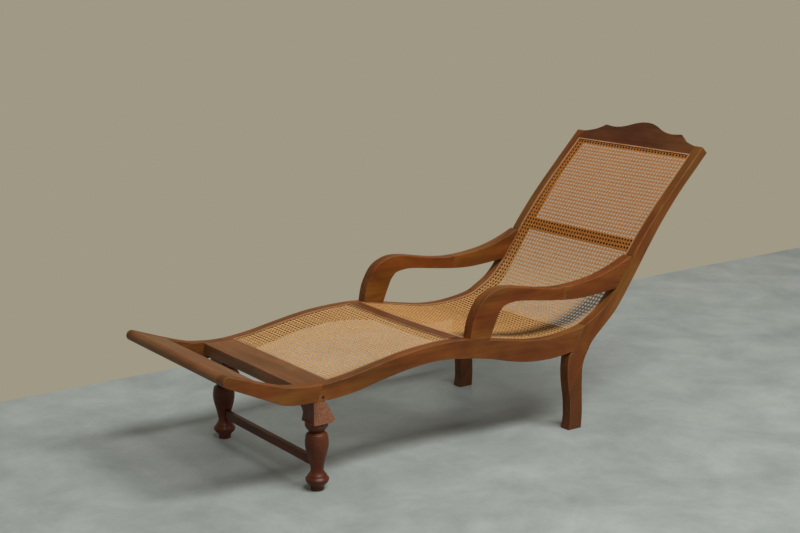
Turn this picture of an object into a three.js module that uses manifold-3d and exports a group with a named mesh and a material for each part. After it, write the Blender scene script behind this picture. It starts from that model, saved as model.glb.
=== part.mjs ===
// Planters chair: a caned reclining chair of dark tropical wood.
// Lengths are in millimetres. X runs across the chair, Y from its foot end to its back, Z up.
import * as THREE from "three";
import { mergeVertices } from "three/addons/utils/BufferGeometryUtils.js";
import Module from "manifold-3d";

const wasm = await Module();
wasm.setup();

// Whole chair
const CHAIR_WIDTH = 620; // over the side rails
const SIDE_THICKNESS = 39; // of rails, posts and arms, across the chair
const JOINT_GAP = 0.3; // left between pieces that touch
const OVERRUN = 6; // by which a cut passes the face that it opens
const MERGE_DISTANCE = 0.001;

// Side rails
const RAIL_RUN = 1325; // from the nose to the knee joint
const SEAT_HEIGHT = 323.5; // top of the rail at its low point, over the front leg
const NOSE_RISE = 73.5; // of the nose above that low point
const RAIL_DEPTH = 50;
const NOSE_BULGE = 15; // of the round front end
const KNEE_LEAN = THREE.MathUtils.degToRad(32);
const SCARF_LEAN = THREE.MathUtils.degToRad(22);
const SCARF_SETBACK = 4; // of the scarf ahead of the front leg's axis

// Back posts, each a rear leg and a stile in one
const BACK_RUN = 512; // of the stile behind the knee
const BACK_RISE = 542; // of the stile above the knee
const STILE_DEPTH = 46;
const REAR_LEG_DEPTH = 54;

// Arms
const ARM_FOOT_SETBACK = 40; // of the arm's foot behind the middle rail
const ARM_FRONT_LENGTH = 346; // from the arm's foot to the joint in the arm
const ARM_RISE = 121; // of the arm's middle line above the rail
const ARM_DEPTH = 48;

// Cross pieces
const FOOT_BAR_WIDTH = 121;
const FOOT_BOARD_Y = 247;
const FOOT_BOARD_WIDTH = 110;
const FOOT_BOARD_THICKNESS = 33;
const MIDDLE_RAIL_Y = 790;
const MIDDLE_RAIL_WIDTH = 57;
const MIDDLE_RAIL_THICKNESS = 21;
const MIDDLE_HOLLOW = 5;
const BACK_RAIL_HEIGHT = 584; // where its middle lies on the front line of the stiles
const BACK_RAIL_WIDTH = 41;
const BACK_RAIL_THICKNESS = 20;
const BACK_RAIL_SETBACK = 15; // behind that front line
const SEAT_RAIL_LEAD = 21; // of its middle behind the bottom of the knee joint
const SEAT_RAIL_DROP = 15; // of its upper edge below the top of the side rails
const SEAT_RAIL_WIDTH = 84;
const SEAT_RAIL_THICKNESS = 22;
const SEAT_RAIL_HOLLOW = 3;
const CREST_HEIGHT = 111.5; // at the centre peak
const CREST_SHOULDER = 41; // height of its ends, where the stiles stop too
const CREST_THICKNESS = 26;
const STRETCHER_HEIGHT = 69; // of its underside above the floor
const STRETCHER_DEPTH = 27;
const STRETCHER_THICKNESS = 16;
const STRETCHER_STOP = 12; // from the leg's axis to the stretcher's end

// Front legs
const FRONT_LEG_INSET = 10; // of the leg's axis from the middle of the side rail
const FRONT_LEG_Y = 315;
const TURNING_HEIGHT = 207;
const TURNING_RADIUS = 35;
const BLOCK_WIDTH = 73;
const BLOCK_LENGTH = 69;
const BRACKET_REACH = 52; // of the block's inner side under the foot board

// Cane panels and the binder strips over their edges
const CANE_THICKNESS = 2.3;
const CANE_SAG = 4;
const CANE_OPENINGS = 10; // across a panel, in the plain grid that stands for the fine mesh
const CANE_OPEN_SHARE = 0.51; // of the grid's pitch, both ways
const BINDER_WIDTH = 4.8;
const BINDER_THICKNESS = 1.3;
const BINDER_SINK = 0.1; // of the strip below the wood
const REBATE_WIDTH = 6;
const REBATE_DEPTH = BINDER_SINK + BINDER_THICKNESS + CANE_THICKNESS + 2 * JOINT_GAP;

// Tenons, dowels and pegs
const TENON_LENGTH = 24;
const TENON_ROOT = 12; // of a tenon inside its own piece
const TENON_THICKNESS = 12;
const THIN_TENON_THICKNESS = 9;
const LEG_TENON_WIDTH = 30;
const LEG_TENON_LEAD = 3; // of its middle ahead of the leg's axis
const ARM_TENON_WIDTH = 32;
const FOOT_BAR_TENON_WIDTH = 60;
const FOOT_BOARD_TENON_WIDTH = 23;
const FOOT_BOARD_TENON_SETBACK = 14; // behind the board's front edge
const MIDDLE_TENON_WIDTH = 38;
const BACK_RAIL_TENON_WIDTH = 27;
const SEAT_RAIL_TENON_WIDTH = 25;
const SEAT_RAIL_TENON_RISE = 7; // above the rail's lower edge
const CREST_TENON_WIDTH = 20;
const DOWEL_RADIUS = 4;
const DOWEL_LENGTH = 44;
const DOWEL_SPACING = 20;
const PEG_RADIUS = 4.5;
const PEG_OFFSET = 5; // behind the front leg's axis
const PEG_PROUD = 0.6;

// Rail line: run, rise and depth of the wood, as shares of RAIL_RUN, NOSE_RISE and RAIL_DEPTH
const RAIL_SHARES = [
  [0.016, 1.0, 0.64],
  [0.0866, 0.535, 0.8],
  [0.135, 0.24, 0.95],
  [0.159, 0.127, 1.04],
  [0.234, 0.0, 0.99],
  [0.311, 0.113, 1.05],
  [0.39, 0.366, 1.01],
  [0.472, 0.606, 1.0],
  [0.555, 0.718, 1.03],
  [0.642, 0.69, 1.22],
  [0.716, 0.451, 1.24],
  [0.777, 0.24, 1.34],
  [0.839, 0.071, 1.38],
  [0.902, 0.042, 1.38],
  [0.966, 0.169, 1.38],
  [1.0, 0.311, 1.38],
];
// Stile line: run, rise and depth, as shares of BACK_RUN, BACK_RISE and STILE_DEPTH
const STILE_SHARES = [
  [0.052, 0.025, 1.2],
  [0.149, 0.08, 1.06],
  [0.215, 0.141, 1.03],
  [0.342, 0.299, 0.99],
  [0.464, 0.456, 0.92],
  [0.605, 0.614, 0.76],
  [0.774, 0.782, 0.64],
  [0.887, 0.891, 0.66],
  [1.0, 1.0, 0.68],
];
const STILE_REAR_FIRST = 2; // station where the stile's rear edge takes over from the leg's
// Rear leg: run from the bottom of the knee joint and height, as shares of REAR_LEG_DEPTH and of that
// joint's height
const LEG_FRONT_SHARES = [
  [-0.19, 0.0],
  [-0.09, 0.13],
  [-0.09, 0.26],
  [-0.13, 0.39],
  [-0.25, 0.53],
  [-0.34, 0.66],
  [-0.36, 0.79],
  [-0.31, 0.92],
  [-0.21, 0.965],
  [0.0, 1.0],
];
const LEG_REAR_SHARES = [
  [0.84, 0.0],
  [0.88, 0.23],
  [0.82, 0.49],
  [0.82, 0.75],
  [0.96, 0.875],
  [1.265, 0.99],
  [1.667, 1.106],
];
// Arm's middle line: run, rise and depth, as shares of the reach to the stile, ARM_RISE and ARM_DEPTH
const ARM_SHARES = [
  [0.0, -0.19, 1.58],
  [0.0085, 0.0, 1.64],
  [0.0273, 0.317, 1.78],
  [0.0411, 0.479, 1.78],
  [0.0711, 0.739, 1.7],
  [0.1095, 0.893, 1.48],
  [0.154, 0.985, 1.22],
  [0.2345, 1.0, 0.97],
  [0.296, 0.965, 0.86],
  [0.433, 0.86, 0.79],
  [0.551, 0.8, 0.85],
  [0.644, 0.79, 0.99],
  [0.716, 0.803, 1.08],
  [0.786, 0.837, 1.15],
  [0.86, 0.888, 1.27],
  [0.971, 1.0, 1.56],
  [1.08, 1.15, 1.9],
];
// Turned leg: radius and height, as shares of TURNING_RADIUS and TURNING_HEIGHT
const TURNING_SHARES = [
  [0.55, 0.0],
  [0.563, 0.05],
  [0.66, 0.077],
  [0.9, 0.118],
  [0.978, 0.142],
  [1.0, 0.169],
  [0.96, 0.179],
  [0.87, 0.198],
  [0.78, 0.215],
  [0.805, 0.223],
  [0.74, 0.232],
  [0.62, 0.263],
  [0.534, 0.295],
  [0.58, 0.36],
  [0.68, 0.434],
  [0.795, 0.509],
  [0.915, 0.584],
  [0.975, 0.644],
  [0.995, 0.69],
  [0.985, 0.735],
  [0.94, 0.777],
  [0.96, 0.787],
  [0.91, 0.797],
  [0.885, 0.812],
  [0.91, 0.821],
  [0.83, 0.831],
  [0.72, 0.848],
  [0.6, 0.862],
  [0.68, 0.88],
  [0.82, 0.905],
  [0.945, 0.935],
  [0.99, 0.965],
];
// Block over the turning, from the front: the inner side's reach from the axis, as a share of
// BRACKET_REACH, and the height between the turning and the foot board, as a share
const BRACKET_SHARES = [
  [0.685, 0.0],
  [0.59, 0.18],
  [0.556, 0.32],
  [0.64, 0.41],
  [0.82, 0.5],
  [1.0, 1.0],
];
// The same block from the side: run from the axis as a share of BLOCK_LENGTH, and height as above
const BLOCK_SIDE_SHARES = [
  [-0.433, 0.0],
  [0.45, 0.0],
  [0.62, 0.1],
  [0.21, 0.76],
  [0.12, 1.0],
  [-0.375, 1.0],
];
// Crest: reach from the centre and height, as shares of half the clear width and CREST_HEIGHT
const CREST_CROWN_SHARES = [
  [0.0, 1.0],
  [0.088, 0.985],
  [0.172, 0.93],
  [0.237, 0.87],
  [0.305, 0.796],
  [0.363, 0.745],
  [0.427, 0.706],
  [0.5, 0.683],
  [0.561, 0.683],
  [0.622, 0.7],
  [0.69, 0.718],
];
const CREST_SHOULDER_SHARES = [
  [0.7, 0.7],
  [0.73, 0.64],
  [0.775, 0.565],
  [0.832, 0.491],
  [0.916, 0.42],
];

// Facets
const LINE_STEPS = 4; // between two stations of a line
const ACROSS_STEPS = 12; // of a hollowed piece across the chair
const NOSE_STEPS = 10;
const TURNING_SIDES = 40;
const PEG_SIDES = 20;

const OUTER_X = CHAIR_WIDTH / 2;
const INNER_X = OUTER_X - SIDE_THICKNESS;
const SIDE_X = OUTER_X - SIDE_THICKNESS / 2;
const FRONT_LEG_X = SIDE_X - FRONT_LEG_INSET;
const FOOT_BOARD_END = FOOT_BOARD_Y + FOOT_BOARD_WIDTH;
const MIDDLE_RAIL_END = MIDDLE_RAIL_Y + MIDDLE_RAIL_WIDTH;
const ARM_FOOT_Y = MIDDLE_RAIL_END + ARM_FOOT_SETBACK;
const ARM_JOINT_Y = ARM_FOOT_Y + ARM_FRONT_LENGTH;

// Solids and geometries

// Makes a solid that can be cut and joined out of a closed geometry.
function solid(geometry) {
  const bare = geometry.clone();
  bare.deleteAttribute("normal");
  bare.deleteAttribute("uv");
  const merged = mergeVertices(bare, MERGE_DISTANCE);
  const vertProperties = merged.attributes.position.array;
  const triVerts = new Uint32Array(merged.index.array);
  return new wasm.Manifold(new wasm.Mesh({ numProp: 3, vertProperties, triVerts }));
}

// Makes a geometry out of a solid.
function geometryOf(body) {
  const mesh = body.getMesh();
  const geometry = new THREE.BufferGeometry();
  const places = new THREE.BufferAttribute(new Float32Array(mesh.vertProperties), mesh.numProp);
  geometry.setAttribute("position", places);
  geometry.setIndex(new THREE.BufferAttribute(new Uint32Array(mesh.triVerts), 1));
  geometry.computeVertexNormals();
  return geometry;
}

// Extrudes an outline of [y, z] points across the chair, from x0 to x1.
function slabGeometry(outline, x0, x1, steps = 1) {
  const shape = new THREE.Shape(outline.map(([y, z]) => new THREE.Vector2(y, z)));
  const geometry = new THREE.ExtrudeGeometry(shape, { depth: x1 - x0, steps, bevelEnabled: false });
  const alongY = new THREE.Vector3(0, 1, 0);
  const alongZ = new THREE.Vector3(0, 0, 1);
  const alongX = new THREE.Vector3(1, 0, 0);
  geometry.applyMatrix4(new THREE.Matrix4().makeBasis(alongY, alongZ, alongX));
  geometry.translate(x0, 0, 0);
  return geometry;
}

function slab(outline, x0, x1) {
  return solid(slabGeometry(outline, x0, x1));
}

// Everything behind a line in the side view that passes [y, z] and leans back by an angle.
function behind(y, z, lean) {
  const size = 2 * (RAIL_RUN + BACK_RUN + BACK_RISE);
  const geometry = new THREE.BoxGeometry(size, size, size);
  geometry.translate(0, size / 2, 0);
  geometry.rotateX(-lean);
  geometry.translate(0, y, z);
  return solid(geometry);
}

// A cylinder from one point to another, with [x, y, z] ends.
function rod(from, to, radius, sides) {
  const start = new THREE.Vector3(...from);
  const end = new THREE.Vector3(...to);
  const axis = end.clone().sub(start);
  const geometry = new THREE.CylinderGeometry(radius, radius, axis.length(), sides);
  const turn = new THREE.Quaternion().setFromUnitVectors(new THREE.Vector3(0, 1, 0), axis.normalize());
  geometry.applyQuaternion(turn);
  geometry.translate(...start.add(end).divideScalar(2));
  return solid(geometry);
}

// The line that the top of each side follows

// Runs a smooth line through [y, z, depth] stations. Each frame of it has its place, the slope of the
// line there, the depth of the wood and the line's run up to it.
function frames(stations) {
  const curve = new THREE.CatmullRomCurve3(
    stations.map((station) => new THREE.Vector3(...station)),
    false,
    "centripetal",
  );
  const points = curve.getPoints((stations.length - 1) * LINE_STEPS);
  let run = 0;
  return points.map((point, i) => {
    const before = points[Math.max(i - 1, 0)];
    const after = points[Math.min(i + 1, points.length - 1)];
    const slope = Math.atan2(after.y - before.y, after.x - before.x);
    run += Math.hypot(point.x - before.x, point.y - before.y);
    return { y: point.x, z: point.y, depth: point.z, slope, run };
  });
}

const KNEE_HEIGHT = SEAT_HEIGHT + RAIL_SHARES.at(-1)[1] * NOSE_RISE;
const RAIL_STATIONS = RAIL_SHARES.map(([run, rise, depth]) => [
  run * RAIL_RUN,
  SEAT_HEIGHT + rise * NOSE_RISE,
  depth * RAIL_DEPTH,
]);
const STILE_STATIONS = STILE_SHARES.map(([run, rise, depth]) => [
  RAIL_RUN + run * BACK_RUN,
  KNEE_HEIGHT + rise * BACK_RISE,
  depth * STILE_DEPTH,
]);
const SEAT_LINE = frames([...RAIL_STATIONS, ...STILE_STATIONS]);
const KNEE_INDEX = (RAIL_STATIONS.length - 1) * LINE_STEPS;

// The point at a distance from a frame, square to the line towards the underside, and at a distance
// along it.
function below(frame, distance, along = 0) {
  return [
    frame.y + Math.sin(frame.slope) * distance + Math.cos(frame.slope) * along,
    frame.z - Math.cos(frame.slope) * distance + Math.sin(frame.slope) * along,
  ];
}

function blend(a, b, share) {
  const mixed = {};
  for (const key of Object.keys(a)) {
    mixed[key] = a[key] + (b[key] - a[key]) * share;
  }
  return mixed;
}

// The frame where a value of the line, such as y or z, first reaches a level beyond an index.
function frameWhere(key, level, start = 0) {
  let i = start + 1;
  while (i < SEAT_LINE.length - 1 && SEAT_LINE[i][key] < level) {
    i += 1;
  }
  const a = SEAT_LINE[i - 1];
  const b = SEAT_LINE[i];
  return blend(a, b, (level - a[key]) / (b[key] - a[key]));
}

function frameAt(y) {
  return frameWhere("y", y);
}

// The frames from one y to another.
function stretch(y0, y1) {
  const inside = SEAT_LINE.filter((frame) => frame.y > y0 + JOINT_GAP && frame.y < y1 - JOINT_GAP);
  return [frameAt(y0), ...inside, frameAt(y1)];
}

// The outline of a band between two depths under the line.
function band(line, top, bottom) {
  const upper = line.map((frame) => below(frame, top));
  const lower = line.map((frame) => below(frame, bottom)).reverse();
  return [...upper, ...lower];
}

// The [low, high] reach of a width around a middle.
function around(middle, width) {
  return [middle - width / 2, middle + width / 2];
}

// A box set square to the line at a frame, with [low, high] reaches across the chair, along the line
// and down from it, grown by a clearance.
function boxAt(frame, across, along, down, clearance = 0) {
  const size = [across, along, down].map(([low, high]) => high - low + 2 * clearance);
  const geometry = new THREE.BoxGeometry(...size);
  const middle = [across, along, down].map(([low, high]) => (low + high) / 2);
  geometry.translate(middle[0], middle[1], -middle[2]);
  geometry.rotateX(frame.slope);
  geometry.translate(0, frame.y, frame.z);
  return solid(geometry);
}

// How far a hollow or a sag lies below its edges, at a place across the chair.
function sagAt(x, amount) {
  const share = Math.min(Math.abs(x) / INNER_X, 1);
  return amount * (1 - share * share);
}

// Places where pieces meet

const CREST_FRAME = (() => {
  const end = SEAT_LINE.at(-1);
  return { ...frameAt(end.y - Math.cos(end.slope) * CREST_SHOULDER), slope: end.slope };
})();
const ARM_BASE = frameAt(ARM_FOOT_Y);
const ARM_REAR = frameWhere("z", ARM_BASE.z + ARM_RISE, KNEE_INDEX);
const BACK_RAIL_FRAME = frameWhere("z", BACK_RAIL_HEIGHT, KNEE_INDEX);
const LEG_FRAME = frameAt(FRONT_LEG_Y);
const RAIL_UNDERSIDE = LEG_FRAME.z - LEG_FRAME.depth;
const BOARD_UNDERSIDE = LEG_FRAME.z - FOOT_BOARD_THICKNESS;
const SCARF_Y = FRONT_LEG_Y - SCARF_SETBACK;
const SCARF_Z = LEG_FRAME.z - LEG_FRAME.depth / 2;

// Where the knee joint, which leans from the top of the rail, comes out of the rail's underside
const KNEE_BOTTOM = (() => {
  const knee = SEAT_LINE[KNEE_INDEX];
  const aheadOf = ([y, z]) => (knee.y - y) * Math.cos(KNEE_LEAN) - (knee.z - z) * Math.sin(KNEE_LEAN);
  const underside = SEAT_LINE.slice(0, KNEE_INDEX + 1).map((frame) => below(frame, frame.depth));
  const i = underside.findIndex((point) => aheadOf(point) < 0);
  const [a, b] = [underside[i - 1], underside[i]];
  const share = aheadOf(a) / (aheadOf(a) - aheadOf(b));
  return [a[0] + (b[0] - a[0]) * share, a[1] + (b[1] - a[1]) * share];
})();

const SEAT_RAIL_FRAME = { ...frameAt(KNEE_BOTTOM[0] + SEAT_RAIL_LEAD), slope: 0 };

// Joinery

// Tenons are boxes that belong to one piece, and are cut out of its neighbour with a clearance.
function legTenon(clearance = 0) {
  const along = around(-LEG_TENON_LEAD, LEG_TENON_WIDTH);
  const down = [LEG_FRAME.depth - TENON_LENGTH, LEG_FRAME.depth + TENON_ROOT];
  const frame = { ...LEG_FRAME, slope: 0 };
  return boxAt(frame, around(SIDE_X, TENON_THICKNESS), along, down, clearance);
}

function armFootTenon(clearance = 0) {
  const frame = { ...ARM_BASE, slope: 0 };
  const along = around(0, ARM_TENON_WIDTH);
  return boxAt(frame, around(SIDE_X, TENON_THICKNESS), along, [-TENON_ROOT, TENON_LENGTH], clearance);
}

function armRearTenon(clearance = 0) {
  const frame = { ...ARM_REAR, slope: 0 };
  const tall = around(0, ARM_TENON_WIDTH);
  return boxAt(frame, around(SIDE_X, TENON_THICKNESS), [-TENON_ROOT, TENON_LENGTH], tall, clearance);
}

// The tenon on the left end of a cross piece.
function crossTenon(frame, along, down, clearance = 0) {
  return boxAt(frame, [INNER_X - TENON_ROOT, INNER_X + TENON_LENGTH], along, down, clearance);
}

function footBarTenon(clearance) {
  const frame = frameAt(FOOT_BAR_WIDTH / 2);
  const down = around(frame.depth / 2, TENON_THICKNESS);
  return crossTenon(frame, around(0, FOOT_BAR_TENON_WIDTH), down, clearance);
}

function footBoardTenon(clearance) {
  const frame = { ...frameAt(FOOT_BOARD_Y), slope: 0 };
  const along = [FOOT_BOARD_TENON_SETBACK, FOOT_BOARD_TENON_SETBACK + FOOT_BOARD_TENON_WIDTH];
  return crossTenon(frame, along, around(FOOT_BOARD_THICKNESS / 2, TENON_THICKNESS), clearance);
}

function middleRailTenon(clearance) {
  const frame = frameAt(MIDDLE_RAIL_Y + MIDDLE_RAIL_WIDTH / 2);
  const down = around((MIDDLE_RAIL_THICKNESS + REBATE_DEPTH) / 2, THIN_TENON_THICKNESS);
  return crossTenon(frame, around(0, MIDDLE_TENON_WIDTH), down, clearance);
}

function backRailTenon(clearance) {
  const down = around(BACK_RAIL_SETBACK + BACK_RAIL_THICKNESS / 2, THIN_TENON_THICKNESS);
  return crossTenon(BACK_RAIL_FRAME, around(0, BACK_RAIL_TENON_WIDTH), down, clearance);
}

function seatRailTenon(clearance) {
  const bottom = SEAT_RAIL_DROP + SEAT_RAIL_WIDTH - SEAT_RAIL_TENON_RISE;
  const down = [bottom - SEAT_RAIL_TENON_WIDTH, bottom];
  return crossTenon(SEAT_RAIL_FRAME, around(0, THIN_TENON_THICKNESS), down, clearance);
}

function crestTenon(clearance) {
  const along = around(CREST_SHOULDER / 2, CREST_TENON_WIDTH);
  return crossTenon(CREST_FRAME, along, around(CREST_THICKNESS / 2, THIN_TENON_THICKNESS), clearance);
}

// A dowel along Y in the middle of a side piece. Its hole is the same rod with a clearance.
function dowel(y, z, clearance = 0) {
  const half = DOWEL_LENGTH / 2 + clearance;
  return rod([SIDE_X, y - half, z], [SIDE_X, y + half, z], DOWEL_RADIUS + clearance, PEG_SIDES);
}

// Dowels of one side, by name
const ARM_JOINT_Z = (() => {
  const line = armLine();
  const after = line.findIndex((frame) => frame.y > ARM_JOINT_Y);
  return line[after].z;
})();
const KNEE_DOWEL_Y = (SEAT_LINE[KNEE_INDEX].y + KNEE_BOTTOM[0]) / 2;
const KNEE_DOWEL_Z = (SEAT_LINE[KNEE_INDEX].z + KNEE_BOTTOM[1]) / 2;
const DOWELS = {
  rail_scarf_dowel: [SCARF_Y, LEG_FRAME.z - (LEG_FRAME.depth - TENON_LENGTH) / 2],
  knee_dowel_upper: [KNEE_DOWEL_Y, KNEE_DOWEL_Z + DOWEL_SPACING / 2],
  knee_dowel_lower: [KNEE_DOWEL_Y, KNEE_DOWEL_Z - DOWEL_SPACING / 2],
  arm_dowel_upper: [ARM_JOINT_Y, ARM_JOINT_Z + DOWEL_SPACING / 2],
  arm_dowel_lower: [ARM_JOINT_Y, ARM_JOINT_Z - DOWEL_SPACING / 2],
};

function dowelHoles(body) {
  return Object.values(DOWELS).reduce((left, [y, z]) => left.subtract(dowel(y, z, JOINT_GAP)), body);
}

// The peg through the side rail and the front leg's tenon.
function legPeg(clearance = 0) {
  const y = FRONT_LEG_Y + PEG_OFFSET;
  const z = RAIL_UNDERSIDE + TENON_LENGTH / 2;
  const end = OUTER_X + PEG_PROUD + (clearance ? OVERRUN : 0);
  const start = INNER_X - (clearance ? OVERRUN : 0);
  return rod([start, y, z], [end, y, z], PEG_RADIUS + clearance, PEG_SIDES);
}

// Rebates

// The rebate for a cane panel along one side piece.
function sideRebate(y0, y1) {
  return slab(band(stretch(y0, y1), -OVERRUN, REBATE_DEPTH), INNER_X - OVERRUN, INNER_X + REBATE_WIDTH);
}

function footPanelRebate() {
  return sideRebate(FOOT_BOARD_END - REBATE_WIDTH, MIDDLE_RAIL_Y + REBATE_WIDTH);
}

function backPanelEnd(past = 0) {
  return CREST_FRAME.y + Math.cos(CREST_FRAME.slope) * (REBATE_WIDTH + past);
}

function backPanelRebate() {
  return sideRebate(MIDDLE_RAIL_END - REBATE_WIDTH, backPanelEnd());
}

// Side pieces, made for the left side

// The rounded front end that joins the underside to the top of a line's first frame.
function nosePoints(frame) {
  const half = frame.depth / 2;
  return Array.from({ length: NOSE_STEPS - 1 }, (_, i) => {
    const angle = (Math.PI * (i + 1)) / NOSE_STEPS;
    return below(frame, half + half * Math.cos(angle), -NOSE_BULGE * Math.sin(angle));
  });
}

function railOutline(line) {
  const top = line.map((frame) => below(frame, 0));
  const underside = line.map((frame) => below(frame, frame.depth)).reverse();
  return [...top, ...underside, ...nosePoints(line[0])];
}

function wholeRail() {
  const rail = slab(railOutline(SEAT_LINE.slice(0, KNEE_INDEX + 1)), INNER_X, OUTER_X);
  const knee = SEAT_LINE[KNEE_INDEX];
  const cut = rail
    .subtract(behind(knee.y - JOINT_GAP, knee.z, KNEE_LEAN))
    .subtract(footPanelRebate())
    .subtract(backPanelRebate())
    .subtract(legTenon(JOINT_GAP))
    .subtract(legPeg(JOINT_GAP))
    .subtract(armFootTenon(JOINT_GAP))
    .subtract(footBarTenon(JOINT_GAP))
    .subtract(footBoardTenon(JOINT_GAP))
    .subtract(middleRailTenon(JOINT_GAP));
  return dowelHoles(cut);
}

function sideRailFoot() {
  return wholeRail().subtract(behind(SCARF_Y, SCARF_Z, SCARF_LEAN));
}

function sideRailSeat() {
  return wholeRail().intersect(behind(SCARF_Y + JOINT_GAP, SCARF_Z, SCARF_LEAN));
}

function smoothEdge(points) {
  const curve = new THREE.SplineCurve(points.map(([y, z]) => new THREE.Vector2(y, z)));
  return curve.getPoints((points.length - 1) * LINE_STEPS).map((point) => [point.x, point.y]);
}

function legPoint([run, rise]) {
  return [KNEE_BOTTOM[0] + run * REAR_LEG_DEPTH, rise * KNEE_BOTTOM[1]];
}

function backPost() {
  const front = smoothEdge(LEG_FRONT_SHARES.map(legPoint));
  const stile = SEAT_LINE.slice(KNEE_INDEX);
  const stileFront = stile.map((frame) => below(frame, 0));
  const stileRear = stile.slice(STILE_REAR_FIRST * LINE_STEPS).map((frame) => below(frame, frame.depth));
  const legRear = smoothEdge([...LEG_REAR_SHARES.map(legPoint), stileRear[0]]).slice(0, -1);
  const outline = [...front, ...stileFront, ...stileRear.reverse(), ...legRear.reverse()];
  const post = slab(outline, INNER_X, OUTER_X)
    .subtract(backPanelRebate())
    .subtract(armRearTenon(JOINT_GAP))
    .subtract(seatRailTenon(JOINT_GAP))
    .subtract(backRailTenon(JOINT_GAP))
    .subtract(crestTenon(JOINT_GAP));
  return dowelHoles(post);
}

function armLine() {
  const reach = ARM_REAR.y - ARM_BASE.y;
  const stations = ARM_SHARES.map(([run, rise, depth]) => [
    ARM_BASE.y + run * reach,
    ARM_BASE.z + rise * ARM_RISE,
    depth * ARM_DEPTH,
  ]);
  return frames(stations);
}

// The region under and behind the line of the seat and back, with a gap.
function underSeat() {
  const line = [...SEAT_LINE, { ...SEAT_LINE.at(-1), y: SEAT_LINE.at(-1).y + BACK_RUN }];
  const top = line.map((frame) => below(frame, -JOINT_GAP));
  return [...top, [line.at(-1).y, -OVERRUN], [line[0].y, -OVERRUN]];
}

function wholeArm() {
  const line = armLine();
  const top = line.map((frame) => below(frame, -frame.depth / 2));
  const underside = line.map((frame) => below(frame, frame.depth / 2)).reverse();
  const arm = slab([...top, ...underside], INNER_X, OUTER_X)
    .subtract(slab(underSeat(), INNER_X - OVERRUN, OUTER_X + OVERRUN))
    .add(armFootTenon())
    .add(armRearTenon());
  return dowelHoles(arm);
}

function armFront() {
  return wholeArm().subtract(behind(ARM_JOINT_Y, ARM_JOINT_Z, 0));
}

function armRear() {
  return wholeArm().intersect(behind(ARM_JOINT_Y + JOINT_GAP, ARM_JOINT_Z, 0));
}

// Front legs

function turning() {
  const profile = TURNING_SHARES.map(
    ([radius, height]) => new THREE.Vector2(radius * TURNING_RADIUS, height * TURNING_HEIGHT),
  );
  const top = TURNING_HEIGHT + OVERRUN;
  const wide = profile.at(-1).x;
  const foot = new THREE.Vector2(0, 0);
  const cap = [new THREE.Vector2(wide, top), new THREE.Vector2(0, top)];
  const geometry = new THREE.LatheGeometry([foot, ...profile, ...cap], TURNING_SIDES);
  geometry.rotateX(Math.PI / 2);
  geometry.translate(FRONT_LEG_X, FRONT_LEG_Y, 0);
  return solid(geometry);
}

// The block over the turning: what its outlines from the front and from the side have in common.
function legBlock() {
  const top = BOARD_UNDERSIDE - JOINT_GAP;
  const height = top - TURNING_HEIGHT;
  const inner = BRACKET_SHARES.map(([reach, rise]) => [
    FRONT_LEG_X - reach * BRACKET_REACH,
    TURNING_HEIGHT + rise * height,
  ]);
  const fromFront = [
    [FRONT_LEG_X + BLOCK_WIDTH / 2, TURNING_HEIGHT],
    [OUTER_X, RAIL_UNDERSIDE],
    [OUTER_X, top],
    ...inner.reverse(),
  ];
  const shape = new THREE.Shape(fromFront.map(([x, z]) => new THREE.Vector2(x, z)));
  const geometry = new THREE.ExtrudeGeometry(shape, { depth: 2 * BLOCK_LENGTH, bevelEnabled: false });
  geometry.rotateX(Math.PI / 2);
  geometry.translate(0, FRONT_LEG_Y + BLOCK_LENGTH, 0);
  const fromSide = BLOCK_SIDE_SHARES.map(([run, rise]) => [
    FRONT_LEG_Y + run * BLOCK_LENGTH,
    TURNING_HEIGHT + rise * height,
  ]);
  const wide = FRONT_LEG_X + BLOCK_WIDTH;
  return solid(geometry).intersect(slab(fromSide, 0, wide));
}

function frontLeg() {
  const railCut = railOutline(SEAT_LINE.slice(0, KNEE_INDEX)).map(([y, z]) => [y, z - JOINT_GAP]);
  return turning()
    .add(legBlock())
    .subtract(slab(railCut, INNER_X - JOINT_GAP, OUTER_X + OVERRUN))
    .add(legTenon())
    .subtract(legPeg(JOINT_GAP))
    .subtract(stretcher(JOINT_GAP));
}

// Cross pieces

// Adds a tenon to each end of a cross piece, given the left one.
function withTenons(body, tenon) {
  return body.add(tenon()).add(mirrored(tenon()));
}

// The mirror image of a solid on the other side of the chair.
function mirrored(body) {
  const geometry = geometryOf(body);
  geometry.scale(-1, 1, 1);
  const index = geometry.index.array;
  for (let i = 0; i < index.length; i += 3) {
    [index[i], index[i + 1]] = [index[i + 1], index[i]];
  }
  return solid(geometry);
}

// Lowers the middle of a geometry that runs across the chair, as a hollow does.
function hollowed(geometry, amount) {
  const places = geometry.attributes.position;
  for (let i = 0; i < places.count; i += 1) {
    places.setZ(i, places.getZ(i) - sagAt(places.getX(i), amount));
  }
  return geometry;
}

function footBar() {
  const outline = railOutline(stretch(SEAT_LINE[0].y, FOOT_BAR_WIDTH));
  return withTenons(slab(outline, JOINT_GAP - INNER_X, INNER_X - JOINT_GAP), footBarTenon);
}

function footBoard() {
  const line = stretch(FOOT_BOARD_Y, FOOT_BOARD_END);
  const bottom = BOARD_UNDERSIDE;
  const outline = [...line.map((frame) => below(frame, 0)), [FOOT_BOARD_END, bottom], [FOOT_BOARD_Y, bottom]];
  const rearEdge = stretch(FOOT_BOARD_END - REBATE_WIDTH, FOOT_BOARD_END + OVERRUN);
  const rebate = slab(band(rearEdge, -OVERRUN, REBATE_DEPTH), -OUTER_X, OUTER_X);
  const board = slab(outline, JOINT_GAP - INNER_X, INNER_X - JOINT_GAP).subtract(rebate);
  return withTenons(board, footBoardTenon);
}

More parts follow.
